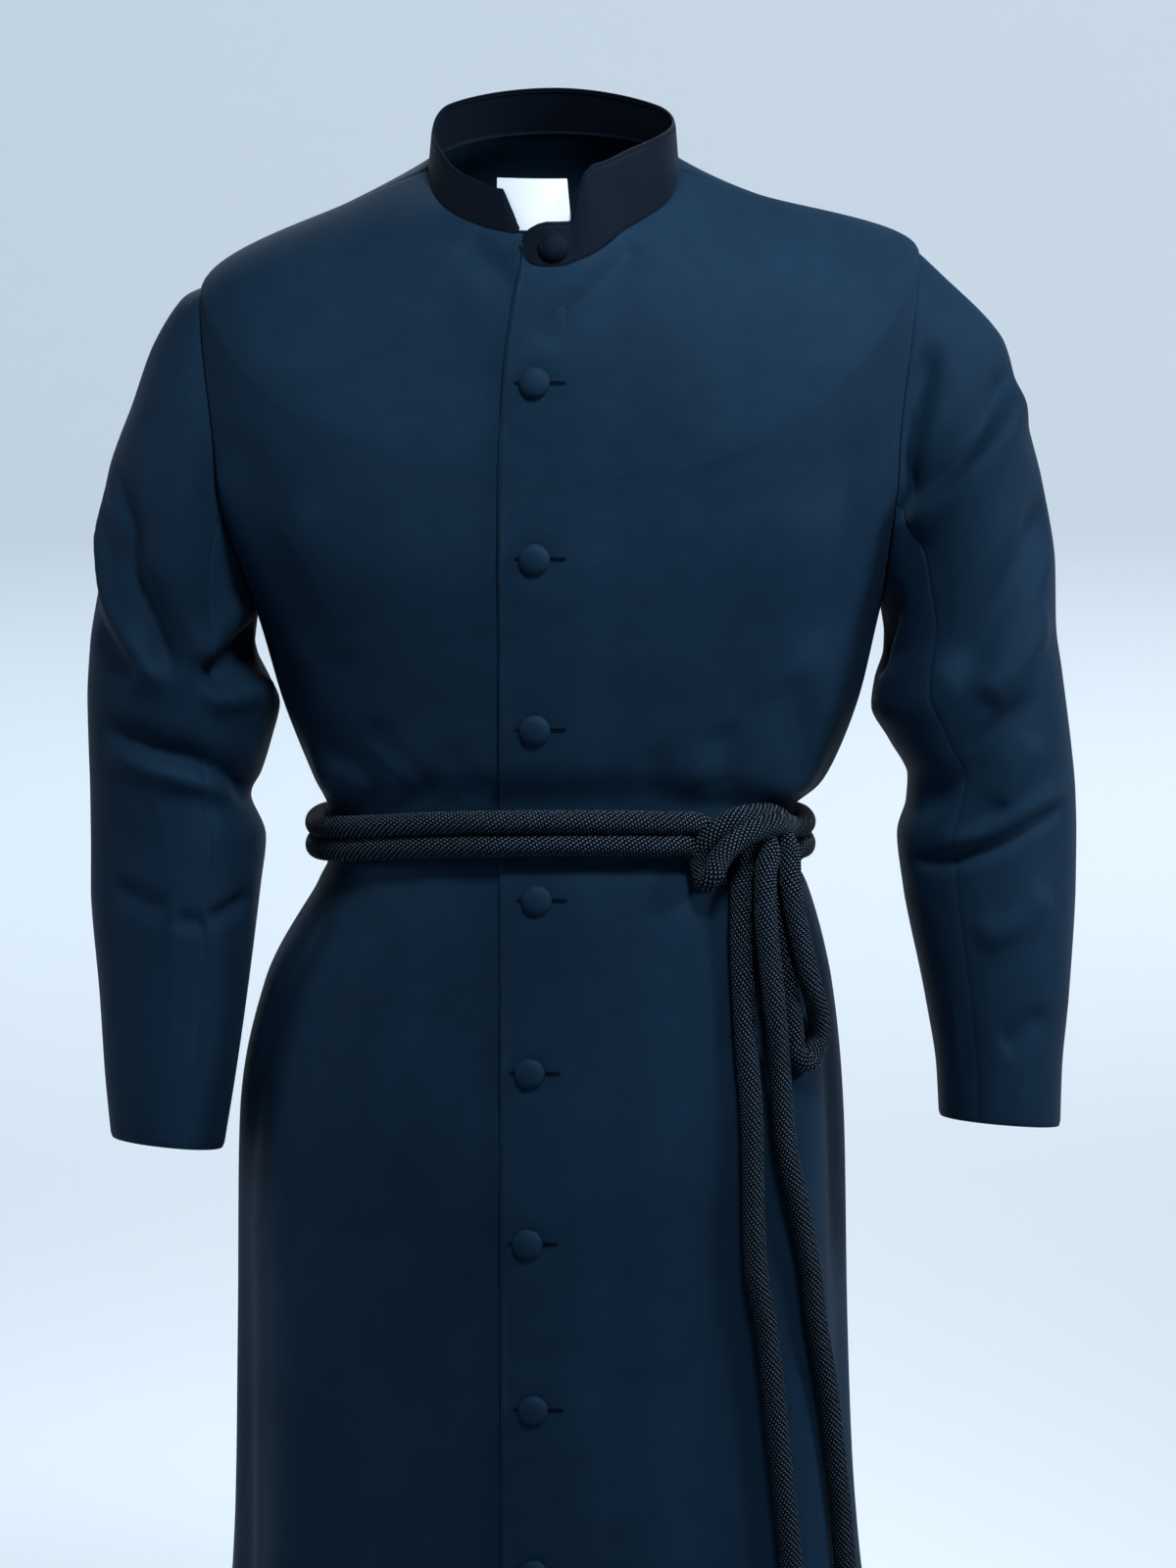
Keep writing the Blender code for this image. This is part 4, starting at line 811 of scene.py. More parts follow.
def sleeve_form(table, side, turn, section):
    """Points of a sleeve, blended from its armhole into its own sections."""
    turn, section = np.broadcast_arrays(np.asarray(turn, float), np.asarray(section, float))
    middle, across, forward, half_width, half_depth, square = sleeve_frame(table, section)
    start = sleeve_frame(table, np.zeros_like(section))
    from_start = armhole_loop(turn, side) - start[0]
    axis = np.cross(across, forward)
    start_axis = np.cross(start[1], start[2])
    loop_across = np.sum(from_start * start[1], axis=-1) * half_width / start[3]
    loop_forward = np.sum(from_start * start[2], axis=-1) * half_depth / start[4]
    loop_along = np.sum(from_start * start_axis, axis=-1)
    round_across = half_width * signed_power(np.cos(np.radians(turn)), 2.0 / square)
    round_forward = half_depth * signed_power(np.sin(np.radians(turn)), 2.0 / square)
    grown = smooth_step(section / SLEEVE_HEAD_SECTIONS)
    return (
        middle
        + across * (loop_across + (round_across - loop_across) * grown)[..., None]
        + forward * (loop_forward + (round_forward - loop_forward) * grown)[..., None]
        + axis * (loop_along * (1.0 - grown))[..., None]
    )


def sleeve_normal(surface, side, turn, section):
    """Directions that point out of a sleeve."""
    round_it = surface(turn + SLEEVE_TURN, section) - surface(turn - SLEEVE_TURN, section)
    down_it = surface(turn, section + SLEEVE_DROP) - surface(turn, section - SLEEVE_DROP)
    return unit(side * np.cross(round_it, down_it))


def sleeve_grid(table, folds, side, first_turn, last_turn, columns):
    """Points of one piece of a sleeve, from one seam to the other, and its ways out."""

    def surface(turn, section):
        return sleeve_form(table, side, turn, section)

    fine = np.linspace(0.0, SLEEVE_LAST, SLEEVE_SPACING)
    middle_turn = (first_turn + last_turn) / 2.0
    run = distances(surface(np.full_like(fine, middle_turn), fine))
    ends = np.array(SLEEVE_END_ROWS)
    inner = np.arange(SLEEVE_FIRST_ROW, run[-1] - SLEEVE_LAST_ROW, SLEEVE_STEP)
    rows = np.interp(np.concatenate((ends, inner, run[-1] - ends[::-1])), run, fine)
    turn, section = np.meshgrid(first_turn + (last_turn - first_turn) * edged(columns), rows)
    points = surface(turn, section)
    towards = sleeve_normal(surface, side, turn, section)
    lift = fold_lift(points, towards, folds, surface) * smooth_step(section / SEAM_FADE_SECTION)
    return points + towards * lift[..., None], towards


for name, table, folds, side, front in (
    ("sleeve_left", LEFT_SLEEVE, LEFT_FOLDS, 1, "front_left_cloth"),
    ("sleeve_right", RIGHT_SLEEVE, RIGHT_FOLDS, -1, "front_right_cloth"),
):
    for part, first_turn, last_turn, columns in (
        ("top", -SLEEVE_SEAM_TURN, SLEEVE_SEAM_TURN, TOP_COLUMNS),
        ("under", SLEEVE_SEAM_TURN, 360.0 - SLEEVE_SEAM_TURN, UNDER_COLUMNS),
    ):
        points, towards = sleeve_grid(table, folds, side, first_turn, last_turn, columns)
        cloth_piece(f"{name}_{part}", points, towards)

# The collar: one stiffened stand band set on the neck edge, open in a notch at the front.
# Its left end is low and rounded, laps over the front centre and takes the first button;
# a line of edge stitching runs just under its top edge.
COLLAR_TOP_X = 0.0805
COLLAR_TOP_FRONT_Y = 0.080
COLLAR_TOP_BACK_Y = 0.052
COLLAR_TOP_COLUMNS = ("angle", "height")
COLLAR_TOP = (
    (-103, 0.0065), (-90, 0.0065), (-70.5, 0.0094), (-49.4, 0.0185), (-24.8, 0.0255),
    (0, 0.031), (30, 0.040), (90, 0.050), (150, 0.041), (180, 0.0265), (201, 0.0143),
    (218, 0.0031), (231, -0.0019), (241, -0.0062), (246, -0.0070), (258, -0.0070),
)
COLLAR_SHARE_COLUMNS = ("angle", "share")
COLLAR_SHARES = (
    (-102.9, 0.02), (-100.2, 0.10), (-96.9, 0.17), (-92.8, 0.21), (-81.7, 0.21),
    (-80.1, 0.47), (-78.6, 0.70), (-75.6, 0.90), (-71.1, 1.0),
    (246.0, 1.0), (247.6, 0.86), (251.0, 0.52), (254.6, 0.12),
)
COLLAR_COLUMNS = 420
COLLAR_ROWS = 16
COLLAR_TOP_STEPS = (0.0, 0.0005, 0.0011, 0.0017, 0.0022, 0.0026, 0.0030, 0.0035, 0.0042)
STITCH_INSET = 0.0026
STITCH_GROOVE = 0.00045
STITCH_GROOVE_WIDTH = 0.0007
STITCH_SINK = 0.0003
STITCHED_HEIGHT = 3.0 * STITCH_INSET
STITCH_SEGMENTS = 6
STITCH_RINGS = 5
STITCH_UNEVEN = (0.85, 1.1)
TUCK_DEPTH = 0.0014
COLLAR_ROUGHNESS = 0.6
# The band and its button take the same twill in darker colours than the body's cloth.
COLLAR_DARK = (0.0008, 0.0014, 0.0032)
COLLAR_LIGHT = (0.0024, 0.0042, 0.0090)
THREAD_COLOUR = (0.0020, 0.0060, 0.0130)
THREAD_ROUGHNESS = 0.6
THREAD_SPECULAR = 0.02


def collar_top(angle):
    """Points of the collar's full top edge."""
    across, forward = np.cos(np.radians(angle)), np.sin(np.radians(angle))
    depth = np.where(forward < 0.0, COLLAR_TOP_FRONT_Y, COLLAR_TOP_BACK_Y)
    height = smooth_read(COLLAR_TOP_COLUMNS, COLLAR_TOP, angle)
    return np.stack((COLLAR_TOP_X * across, depth * forward, height), axis=-1)


def level_out(points):
    """Directions that point level out of the neck."""
    return unit(points * np.array((1.0, 1.0, 0.0)))


def neck_edge(angle):
    """Points of the neck seam, which dips where the left front laps over."""
    dip = smooth_read(NECK_DIP_COLUMNS, NECK_DIP, body_form(angle, 0.0)[:, 0])
    dip = np.where(angle < 0.0, dip, 0.0)
    points = body(angle, dip)
    lift = np.where(angle < 0.0, lap_lift(points), 0.0)
    return points + body_normal(body, angle, dip) * lift[:, None]


def collar_grid(angle):
    """Points of the band round its angles, from its top edge down to the neck seam."""
    foot = neck_edge(angle)
    seam = body_form(angle, 0.0)
    out = level_out(seam)
    lift = np.where(angle < 0.0, lap_lift(seam), 0.0)[:, None]
    seam, top = seam + out * lift, collar_top(angle) + out * lift
    shares = named(COLLAR_SHARE_COLUMNS, np.array(COLLAR_SHARES).T)
    share = np.interp(angle, shares["angle"], shares["share"])
    head = seam + (top - seam) * share[:, None]
    height = np.linalg.norm(foot - head, axis=-1)
    room = np.minimum(1.0, height / 2.0 / COLLAR_TOP_STEPS[-1])
    near_top = np.array(COLLAR_TOP_STEPS)[:, None] * room
    below = np.linspace(0.0, 1.0, COLLAR_ROWS)[1:, None]
    down = np.vstack((near_top, near_top[-1] + (height - near_top[-1]) * below))
    points = head + (foot - head) * (down / height)[..., None]
    groove = STITCH_GROOVE * np.exp(-(((down - STITCH_INSET) / STITCH_GROOVE_WIDTH) ** 2))
    points = points - out * (groove * (height > STITCHED_HEIGHT))[..., None]
    tucked = points[-1] - out * SEAM_GAP - np.array((0.0, 0.0, TUCK_DEPTH))
    return np.vstack((points, tucked[None])), out


def geometry_group(name, inputs):
    """An empty geometry node group with named inputs after its geometry."""
    tree = bpy.data.node_groups.new(name, "GeometryNodeTree")
    tree.interface.new_socket("Geometry", in_out="INPUT", socket_type="NodeSocketGeometry")
    for label, kind, value in inputs:
        socket = tree.interface.new_socket(label, in_out="INPUT", socket_type=kind)
        if value is not None:
            socket.default_value = value
    tree.interface.new_socket("Geometry", in_out="OUTPUT", socket_type="NodeSocketGeometry")
    return tree, tree.nodes.new("NodeGroupInput"), tree.nodes.new("NodeGroupOutput")


def grow_piece(name, source, tree, values):
    """A plain mesh object grown by a geometry node group from a source mesh."""
    made = add_object(name, source)
    modifier = made.modifiers.new(tree.name, "NODES")
    modifier.node_group = tree
    for item in tree.interface.items_tree:
        if item.in_out == "INPUT" and item.name in values:
            modifier[item.identifier] = values[item.name]
    evaluated = made.evaluated_get(bpy.context.evaluated_depsgraph_get())
    result = bpy.data.meshes.new_from_object(evaluated)
    made.modifiers.clear()
    made.data = result
    return made


def path_mesh(name, lines, lies=None):
    """Lines of points as loose edges; for stitches, each point has the way its stitch lies."""
    points, edges, start = [], [], 0
    for line in lines:
        points.extend(line)
        edges.extend((start + step, start + step + 1) for step in range(len(line) - 1))
        start += len(line)
    mesh = bpy.data.meshes.new(name)
    mesh.from_pydata([tuple(point) for point in points], edges, [])
    if lies is not None:
        layer = mesh.attributes.new("lie", "FLOAT_VECTOR", "POINT")
        layer.data.foreach_set("vector", np.concatenate(lies).astype(np.float32).ravel())
    return mesh


def read_attribute(tree, name, kind):
    """A named attribute of the geometry, as a link."""
    return add_node(
        tree, "GeometryNodeInputNamedAttribute", {"Name": name}, data_type=kind
    ).outputs[0]


def scale_vector(tree, vector, scale):
    """A vector made longer or shorter by a link."""
    sockets = {0: vector, "Scale": scale}
    return add_node(tree, "ShaderNodeVectorMath", sockets, operation="SCALE").outputs[0]


def stitch_group():
    """Short rounded stitches set along a path, each lying the way that its point says."""
    tree, given, out = geometry_group(
        "Stitches",
        (
            ("Pitch", "NodeSocketFloat", 0.003), ("Length", "NodeSocketFloat", 0.002),
            ("Radius", "NodeSocketFloat", 0.0002), ("Seed", "NodeSocketInt", 3),
            ("Material", "NodeSocketMaterial", None),
        ),
    )
    curve = add_node(tree, "GeometryNodeMeshToCurve", {"Mesh": given.outputs["Geometry"]})
    spaced = add_node(
        tree, "GeometryNodeResampleCurve",
        {"Curve": curve.outputs[0], "Length": given.outputs["Pitch"]}, mode="LENGTH",
    )
    thread = add_node(
        tree, "GeometryNodeMeshUVSphere",
        {"Segments": STITCH_SEGMENTS, "Rings": STITCH_RINGS, "Radius": given.outputs["Radius"]},
    )
    width = add_math(tree, "MULTIPLY", given.outputs["Radius"], 2.0)
    stretch = add_math(tree, "DIVIDE", given.outputs["Length"], width)
    size = add_node(tree, "ShaderNodeCombineXYZ", {0: 1.0, 1: 1.0, 2: stretch})
    lie = read_attribute(tree, "lie", "FLOAT_VECTOR")
    turned = add_node(tree, "FunctionNodeAlignRotationToVector", {"Vector": lie}, axis="Z")
    uneven = add_node(
        tree, "FunctionNodeRandomValue",
        {2: STITCH_UNEVEN[0], 3: STITCH_UNEVEN[1], "Seed": given.outputs["Seed"]},
        data_type="FLOAT",
    )
    scaled = scale_vector(tree, size.outputs[0], uneven.outputs[1])
    placed = add_node(
        tree, "GeometryNodeInstanceOnPoints",
        {
            "Points": spaced.outputs[0], "Instance": thread.outputs[0],
            "Rotation": turned.outputs[0], "Scale": scaled,
        },
    )
    real = add_node(tree, "GeometryNodeRealizeInstances", {0: placed.outputs[0]})
    smooth = add_node(tree, "GeometryNodeSetShadeSmooth", {0: real.outputs[0]})
    painted = add_node(
        tree, "GeometryNodeSetMaterial", {0: smooth.outputs[0], "Material": given.outputs["Material"]}
    )
    tree.links.new(painted.outputs[0], out.inputs[0])
    return tree


def plain_material(name, colour, roughness, specular=0.3):
    """A plain finish."""
    made = bpy.data.materials.new(name)
    made.use_nodes = True
    shader = made.node_tree.nodes["Principled BSDF"]
    shader.inputs["Base Color"].default_value = (*colour, 1.0)
    shader.inputs["Roughness"].default_value = roughness
    shader.inputs["Specular IOR Level"].default_value = specular
    return made


STITCHES = stitch_group()
THREAD = plain_material("sewing thread", THREAD_COLOUR, THREAD_ROUGHNESS, THREAD_SPECULAR)
COLLAR_FINISH = cloth_material("collar cloth", COLLAR_DARK, COLLAR_LIGHT, COLLAR_ROUGHNESS)
collar_ends = [named(COLLAR_SHARE_COLUMNS, COLLAR_SHARES[end])["angle"] for end in (0, -1)]
collar_points, collar_out = collar_grid(np.linspace(*collar_ends, COLLAR_COLUMNS))
cloth_piece(
    "collar", collar_points, np.broadcast_to(collar_out, collar_points.shape),
    ((True, True), (True, False)), COLLAR_FINISH,
)
band = collar_points[-2] - collar_points[0]
band_height = np.linalg.norm(band, axis=-1)
inset = (STITCH_INSET / np.maximum(band_height, STITCH_INSET))[:, None]
stitch_line = collar_points[0] + band * inset - collar_out * STITCH_SINK
stitch_line = stitch_line[band_height > STITCHED_HEIGHT]
collar_stitches = grow_piece(
    "collar_edge_stitches",
    path_mesh("collar stitch line", [stitch_line], [unit(np.gradient(stitch_line, axis=0))]),
    STITCHES, {"Pitch": 0.0028, "Length": 0.0021, "Radius": 0.00022, "Material": THREAD},
)
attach(collar_stitches, "root")

# The insert of the collar: a smooth strip of stiff white plastic, slipped behind the band
# so that it closes the notch.
TAB_LEFT_X = -0.0385
TAB_RIGHT_X = 0.0128
TAB_TRIM = 0.0030
TAB_TOP_Z = -0.0005
TAB_FOOT_Z = -0.0335
TAB_GAP = 0.0017
TAB_THICKNESS = 0.001
TAB_COLUMNS = 48
TAB_ROWS = 26
TAB_COLOUR = (0.50, 0.57, 0.65)
TAB_ROUGHNESS = 0.42
tab_share, tab_z = np.meshgrid(
    np.linspace(0.0, 1.0, TAB_COLUMNS), np.linspace(TAB_TOP_Z, TAB_FOOT_Z, TAB_ROWS)
)
trimmed = TAB_RIGHT_X - TAB_TRIM * (tab_z - TAB_FOOT_Z) / (TAB_TOP_Z - TAB_FOOT_Z)
tab_x = TAB_LEFT_X + (trimmed - TAB_LEFT_X) * tab_share
tab_angle = angle_at_x(tab_x, np.zeros(tab_x.shape))
tab_seam, tab_top = body_form(tab_angle, 0.0), collar_top(tab_angle)
tab_top[..., 2] = named(COLLAR_TOP_COLUMNS, COLLAR_TOP[0])["height"]
tab_rise = (tab_z - tab_seam[..., 2]) / (tab_top[..., 2] - tab_seam[..., 2])
tab_out = level_out(tab_seam)
tab_points = tab_seam + (tab_top - tab_seam) * tab_rise[..., None]
tab_points = tab_points - tab_out * (CLOTH + TAB_GAP)
TAB_FINISH = plain_material("white insert", TAB_COLOUR, TAB_ROUGHNESS)
tab = thin_wall("collar_tab_strip", tab_points, tab_out, TAB_FINISH, TAB_THICKNESS)
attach(tab, "root")
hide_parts("collar_tab")

# The buttons: cloth drawn over a domed mould and gathered under its rim, one on the
# collar's rounded end and ten down the front, each through a worked buttonhole.
BUTTON_RADIUS = 0.010
BUTTON_HEIGHT = 0.0058
COLLAR_BUTTON = (0.0006, -0.0428)
BUTTON_PROFILE = (
    (0.0, 1.0), (0.14, 0.995), (0.30, 0.975), (0.46, 0.935), (0.60, 0.875), (0.73, 0.785),
    (0.84, 0.665), (0.92, 0.52), (0.97, 0.37), (1.0, 0.22), (0.985, 0.09), (0.94, 0.0),
)
BUTTON_SEGMENTS = 48
BUTTON_ROUGHNESS = 0.58
BUTTON_BUMP = 0.0001
PUCKERS = 20
PUCKER_DEPTH = 0.012
PUCKER_START = 0.8
HOLE_STEPS = 30
HOLE_SQUARENESS = 8
HOLE_RISE = 0.00012
SLIT_SHARE = 0.7
# The slit's near-black colour is painted shade in the buttonhole's opening.
SLIT_SHADE_COLOUR = (0.0003, 0.0008, 0.0016)
SLIT_ROUGHNESS = 0.9
STITCH_LEAN = 0.12
HOLE_LEFT = -0.0130
HOLE_RIGHT = 0.0205
HOLE_HALF_HEIGHT = 0.0009
BISECTIONS = 30
SEATING_ROUNDS = 8


def front_place(x, z):
    """The angles and levels of the front surface's points at places across and heights."""
    high, low = np.zeros(x.shape), np.full(x.shape, HEM_LEVEL)
    for _ in range(BISECTIONS):
        level = (high + low) / 2.0
        angle = angle_at_x(x, level)
        above = body_form(angle, level)[..., 2] > z
        high, low = np.where(above, level, high), np.where(above, low, level)
    return angle, level


def on_cloth(x, z, out):
    """Points at places across and heights that lie off the front's cloth, and its normals."""
    wanted = np.stack(np.broadcast_arrays(np.asarray(x, float), np.asarray(z, float)), axis=-1)
    aim = wanted.copy()
    for _ in range(SEATING_ROUNDS):
        angle, level = front_place(aim[..., 0], aim[..., 1])
        normal = body_normal(body, angle, level)
        found = body(angle, level) + normal * np.asarray(out, float)[..., None]
        aim = aim + wanted - found[..., ::2]
    return found, normal


def covered_button(node, seat, normal, finish):
    """A button turned from its half outline, puckered towards the rim."""
    turns = np.linspace(0.0, TURN, BUTTON_SEGMENTS, endpoint=False)
    points = [(0.0, 0.0, BUTTON_HEIGHT)]
    for r, h in BUTTON_PROFILE[1:]:
        pull = PUCKER_DEPTH * (1.0 - h) * np.cos(PUCKERS * turns)
        radius = BUTTON_RADIUS * r * (1.0 + pull * (r > PUCKER_START))
        height = np.full_like(turns, h * BUTTON_HEIGHT)
        points.extend(zip(radius * np.cos(turns), radius * np.sin(turns), height))
    points.append((0.0, 0.0, 0.0))
    faces = []
    rings = len(BUTTON_PROFILE) - 1
    for k in range(BUTTON_SEGMENTS):
        after = (k + 1) % BUTTON_SEGMENTS
        faces.append((0, 1 + k, 1 + after))
        for ring in range(rings - 1):
            a, b = 1 + ring * BUTTON_SEGMENTS, 1 + (ring + 1) * BUTTON_SEGMENTS
            faces.append((a + k, b + k, b + after, a + after))
        last = 1 + (rings - 1) * BUTTON_SEGMENTS
        faces.append((last + k, len(points) - 1, last + after))
    mesh = bpy.data.meshes.new(f"{node}_cloth")
    local = np.array(points)
    turn = np.array(Vector(normal).to_track_quat("Z", "Y").to_matrix())
    mesh.from_pydata((local @ turn.T + seat).tolist(), [], faces)
    layer = mesh.uv_layers.new(name="UVMap")
    for loop in mesh.loops:
        layer.data[loop.index].uv = local[loop.vertex_index, :2]
    mesh.shade_smooth()
    mesh.materials.append(finish)
    made = add_object(f"{node}_cover", mesh)
    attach(made, "root")
    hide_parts(node)


BUTTON_FINISH = cloth_material(
    "button cloth", CLOTH_DARK, CLOTH_LIGHT, BUTTON_ROUGHNESS, BUTTON_BUMP
)
COLLAR_BUTTON_FINISH = cloth_material(
    "collar button cloth", COLLAR_DARK, COLLAR_LIGHT, BUTTON_ROUGHNESS, BUTTON_BUMP
)
SLIT_FINISH = plain_material("buttonhole shade", SLIT_SHADE_COLOUR, SLIT_ROUGHNESS, 0.0)
at = named(BUTTON_COLUMNS, COLLAR_BUTTON)
low_end = collar_points[0, : COLLAR_COLUMNS // 4, 0]
column = int(np.argmin(np.abs(low_end - at["x"])))
band_head, band_foot = collar_points[0, column], collar_points[-2, column]
down_band = (band_foot - band_head) * (band_head[2] - at["z"])
seat = band_head + down_band / (band_head[2] - band_foot[2])
seat[0] = at["x"]
facing = unit(np.cross(band_foot - band_head, np.array((1.0, 0.0, 0.0))))
facing = facing * -np.sign(facing[1])
covered_button("button_collar", seat + facing * SEAM_GAP, facing, COLLAR_BUTTON_FINISH)

hole_lines, hole_lies, slit_points, slit_faces = [], [], [], []
for number, row in enumerate(FRONT_BUTTONS, start=1):
    at = named(BUTTON_COLUMNS, row)
    seat, facing = on_cloth(out=CLOTH + LAP_GAP, **at)
    covered_button(f"button_{number:02d}", seat + facing * SEAM_GAP, facing, BUTTON_FINISH)
    right = unit(np.cross(np.array((0.0, 0.0, 1.0)), facing))
    right = right * np.sign(right[0])
    places = np.linspace(HOLE_LEFT, HOLE_RIGHT, HOLE_STEPS)
    rise = CLOTH + LAP_GAP + HOLE_RISE + button_pull(places, 0.0)
    middle, out_of = on_cloth(at["x"] + places, at["z"], rise)
    up = np.cross(out_of, right)
    up = unit(up * np.sign(up[:, 2:3]))
    from_middle = (places - places.mean()) / (np.ptp(places) / 2.0)
    bow = np.sqrt(np.clip(1.0 - from_middle**HOLE_SQUARENESS, 0.0, 1.0))
    bow = up * (HOLE_HALF_HEIGHT * bow)[:, None]
    start = len(slit_points)
    for hand in (1.0, -1.0):
        hole_lines.append(middle + bow * hand)
        hole_lies.append(up * hand + right * STITCH_LEAN)
        slit_points.extend(middle + bow * hand * SLIT_SHARE)
    for a in range(start, start + HOLE_STEPS - 1):
        slit_faces.append((a, a + HOLE_STEPS, a + HOLE_STEPS + 1, a + 1))
# Each slit is a thin dark strip between the buttonhole's stitched lines: painted shade in the opening.
slits = bpy.data.meshes.new("buttonhole slits")
slits.from_pydata([tuple(point) for point in slit_points], [], slit_faces)
slits.materials.append(SLIT_FINISH)
buttonhole_slits = add_object("buttonhole_slits", slits)
buttonhole_stitches = grow_piece(
    "buttonhole_stitches", path_mesh("buttonhole lines", hole_lines, hole_lies), STITCHES,
    {"Pitch": 0.00055, "Length": 0.0017, "Radius": 0.00026, "Seed": 5, "Material": THREAD},
)
for made in (buttonhole_slits, buttonhole_stitches):
    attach(made, "root")

# The cincture: one soft knitted rope of black cotton, doubled round the waist, knotted at
# the wearer's left with a bight pulled through it, which hangs. Spiral wales of
# chain-like loops cover the rope.
ROPE_RADIUS = 0.0075
ROPE_WALES = 14
ROPE_LAY = 0.060
ROPE_COURSES = 13
ROPE_GIRTH = TURN * ROPE_RADIUS
ROPE_DEPTH = 0.0014
ROPE_MIDLINE = 0.8
ROPE_BUMP = 0.0012
ROPE_STEP = 0.0016
ROPE_SIDES = 84
WALE_ROUNDNESS = 0.6
LOOP_LEAN = 1.3
LOOP_SHARPNESS = 1.4
LOOP_FLOOR = 0.15
# Where on the loops the painted glints start and end, and how sharply they rise.
GLINT_FROM = 0.45
GLINT_TO = 0.97
GLINT_SHARPNESS = 2.0
FIBRE_SCALE = 1500.0
FIBRE_TONE = 0.25
FIBRE_HEIGHT = 0.15
ROPE_ROUGHNESS = 0.42
ROPE_SPECULAR = 0.04
# Painted shade in the gaps between the loops, and painted bluish glints on the loops' crests.
ROPE_GAP_SHADE = (0.0002, 0.0005, 0.0012)
ROPE_LOOP_GLINT = (0.0950, 0.1450, 0.2150)
STRAND_POINTS = 37
STRAND_RISE_X = -0.066
STRAND_LIFTED_X = -0.042
UPPER_STRAND = (-57.0, -378.4)
LOWER_STRAND = (-59.5, -376.0)
ROUTE_COLUMNS = ("x", "z", "out")
ROUTE_STEPS = 6
LOOP_STEPS = 9
UPPER_END = ((0.1130, -0.4350, 0.0120), (0.1050, -0.4335, 0.0085))
LOWER_LEFT_END = ((0.1130, -0.4560, 0.0100), (0.1040, -0.4545, 0.0082))
LOWER_RIGHT_END = ((0.1560, -0.4560, 0.0082), (0.1500, -0.4540, 0.0090))
LOOP_START = ((0.1480, -0.4330, 0.0100), (0.1530, -0.4395, 0.0180))
LOOP_FINISH = ((0.1440, -0.4450, 0.0085),)
KNOT_ROUTE = (
    (0.1568, -0.4335, 0.0100), (0.1512, -0.4288, 0.0160), (0.1432, -0.4262, 0.0215),
    (0.1283, -0.4285, 0.0240), (0.1170, -0.4350, 0.0245), (0.1092, -0.4440, 0.0240),
    (0.1048, -0.4535, 0.0202), (0.1000, -0.4585, 0.0135), (0.0975, -0.4500, 0.0105),
    (0.0982, -0.4410, 0.0110), (0.1015, -0.4325, 0.0135), (0.1094, -0.4245, 0.0160),
    (0.1206, -0.4196, 0.0165), (0.1330, -0.4195, 0.0135), (0.1440, -0.4225, 0.0095),
    (0.1520, -0.4290, 0.0081),
)
LOOP_ROUTE = (
    (0.1565, -0.4470, 0.0235), (0.1572, -0.4650, 0.0240), (0.1612, -0.4907, 0.0225),
    (0.1703, -0.5296, 0.0215), (0.1767, -0.5560, 0.0135), (0.1776, -0.5752, 0.0081),
    (0.1700, -0.5870, 0.0081), (0.1612, -0.5780, 0.0081), (0.1583, -0.5550, 0.0081),
    (0.1540, -0.5250, 0.0081), (0.1500, -0.4980, 0.0081), (0.1470, -0.4740, 0.0082),
    (0.1455, -0.4560, 0.0082),
)


def add_wave(tree, phase):
    """Rounded crests, one for each whole number that a value passes."""
    cosine = add_math(tree, "COSINE", add_math(tree, "MULTIPLY", phase, math.pi))
    return add_math(tree, "ABSOLUTE", cosine)


def add_wales(tree, given, compass, run):
    """The place round a rope, the count of wales there and how high their crests stand."""
    parts = add_node(tree, "ShaderNodeSeparateXYZ", {0: compass})
    angle = add_math(tree, "ARCTAN2", parts.outputs[1], parts.outputs[0])
    place = add_math(tree, "DIVIDE", angle, TURN)
    spiral = add_math(tree, "ADD", place, add_math(tree, "DIVIDE", run, given.outputs["Lay"]))
    phase = add_math(tree, "MULTIPLY", spiral, given.outputs["Wales"])
    return place, phase, add_math(tree, "POWER", add_wave(tree, phase), WALE_ROUNDNESS)


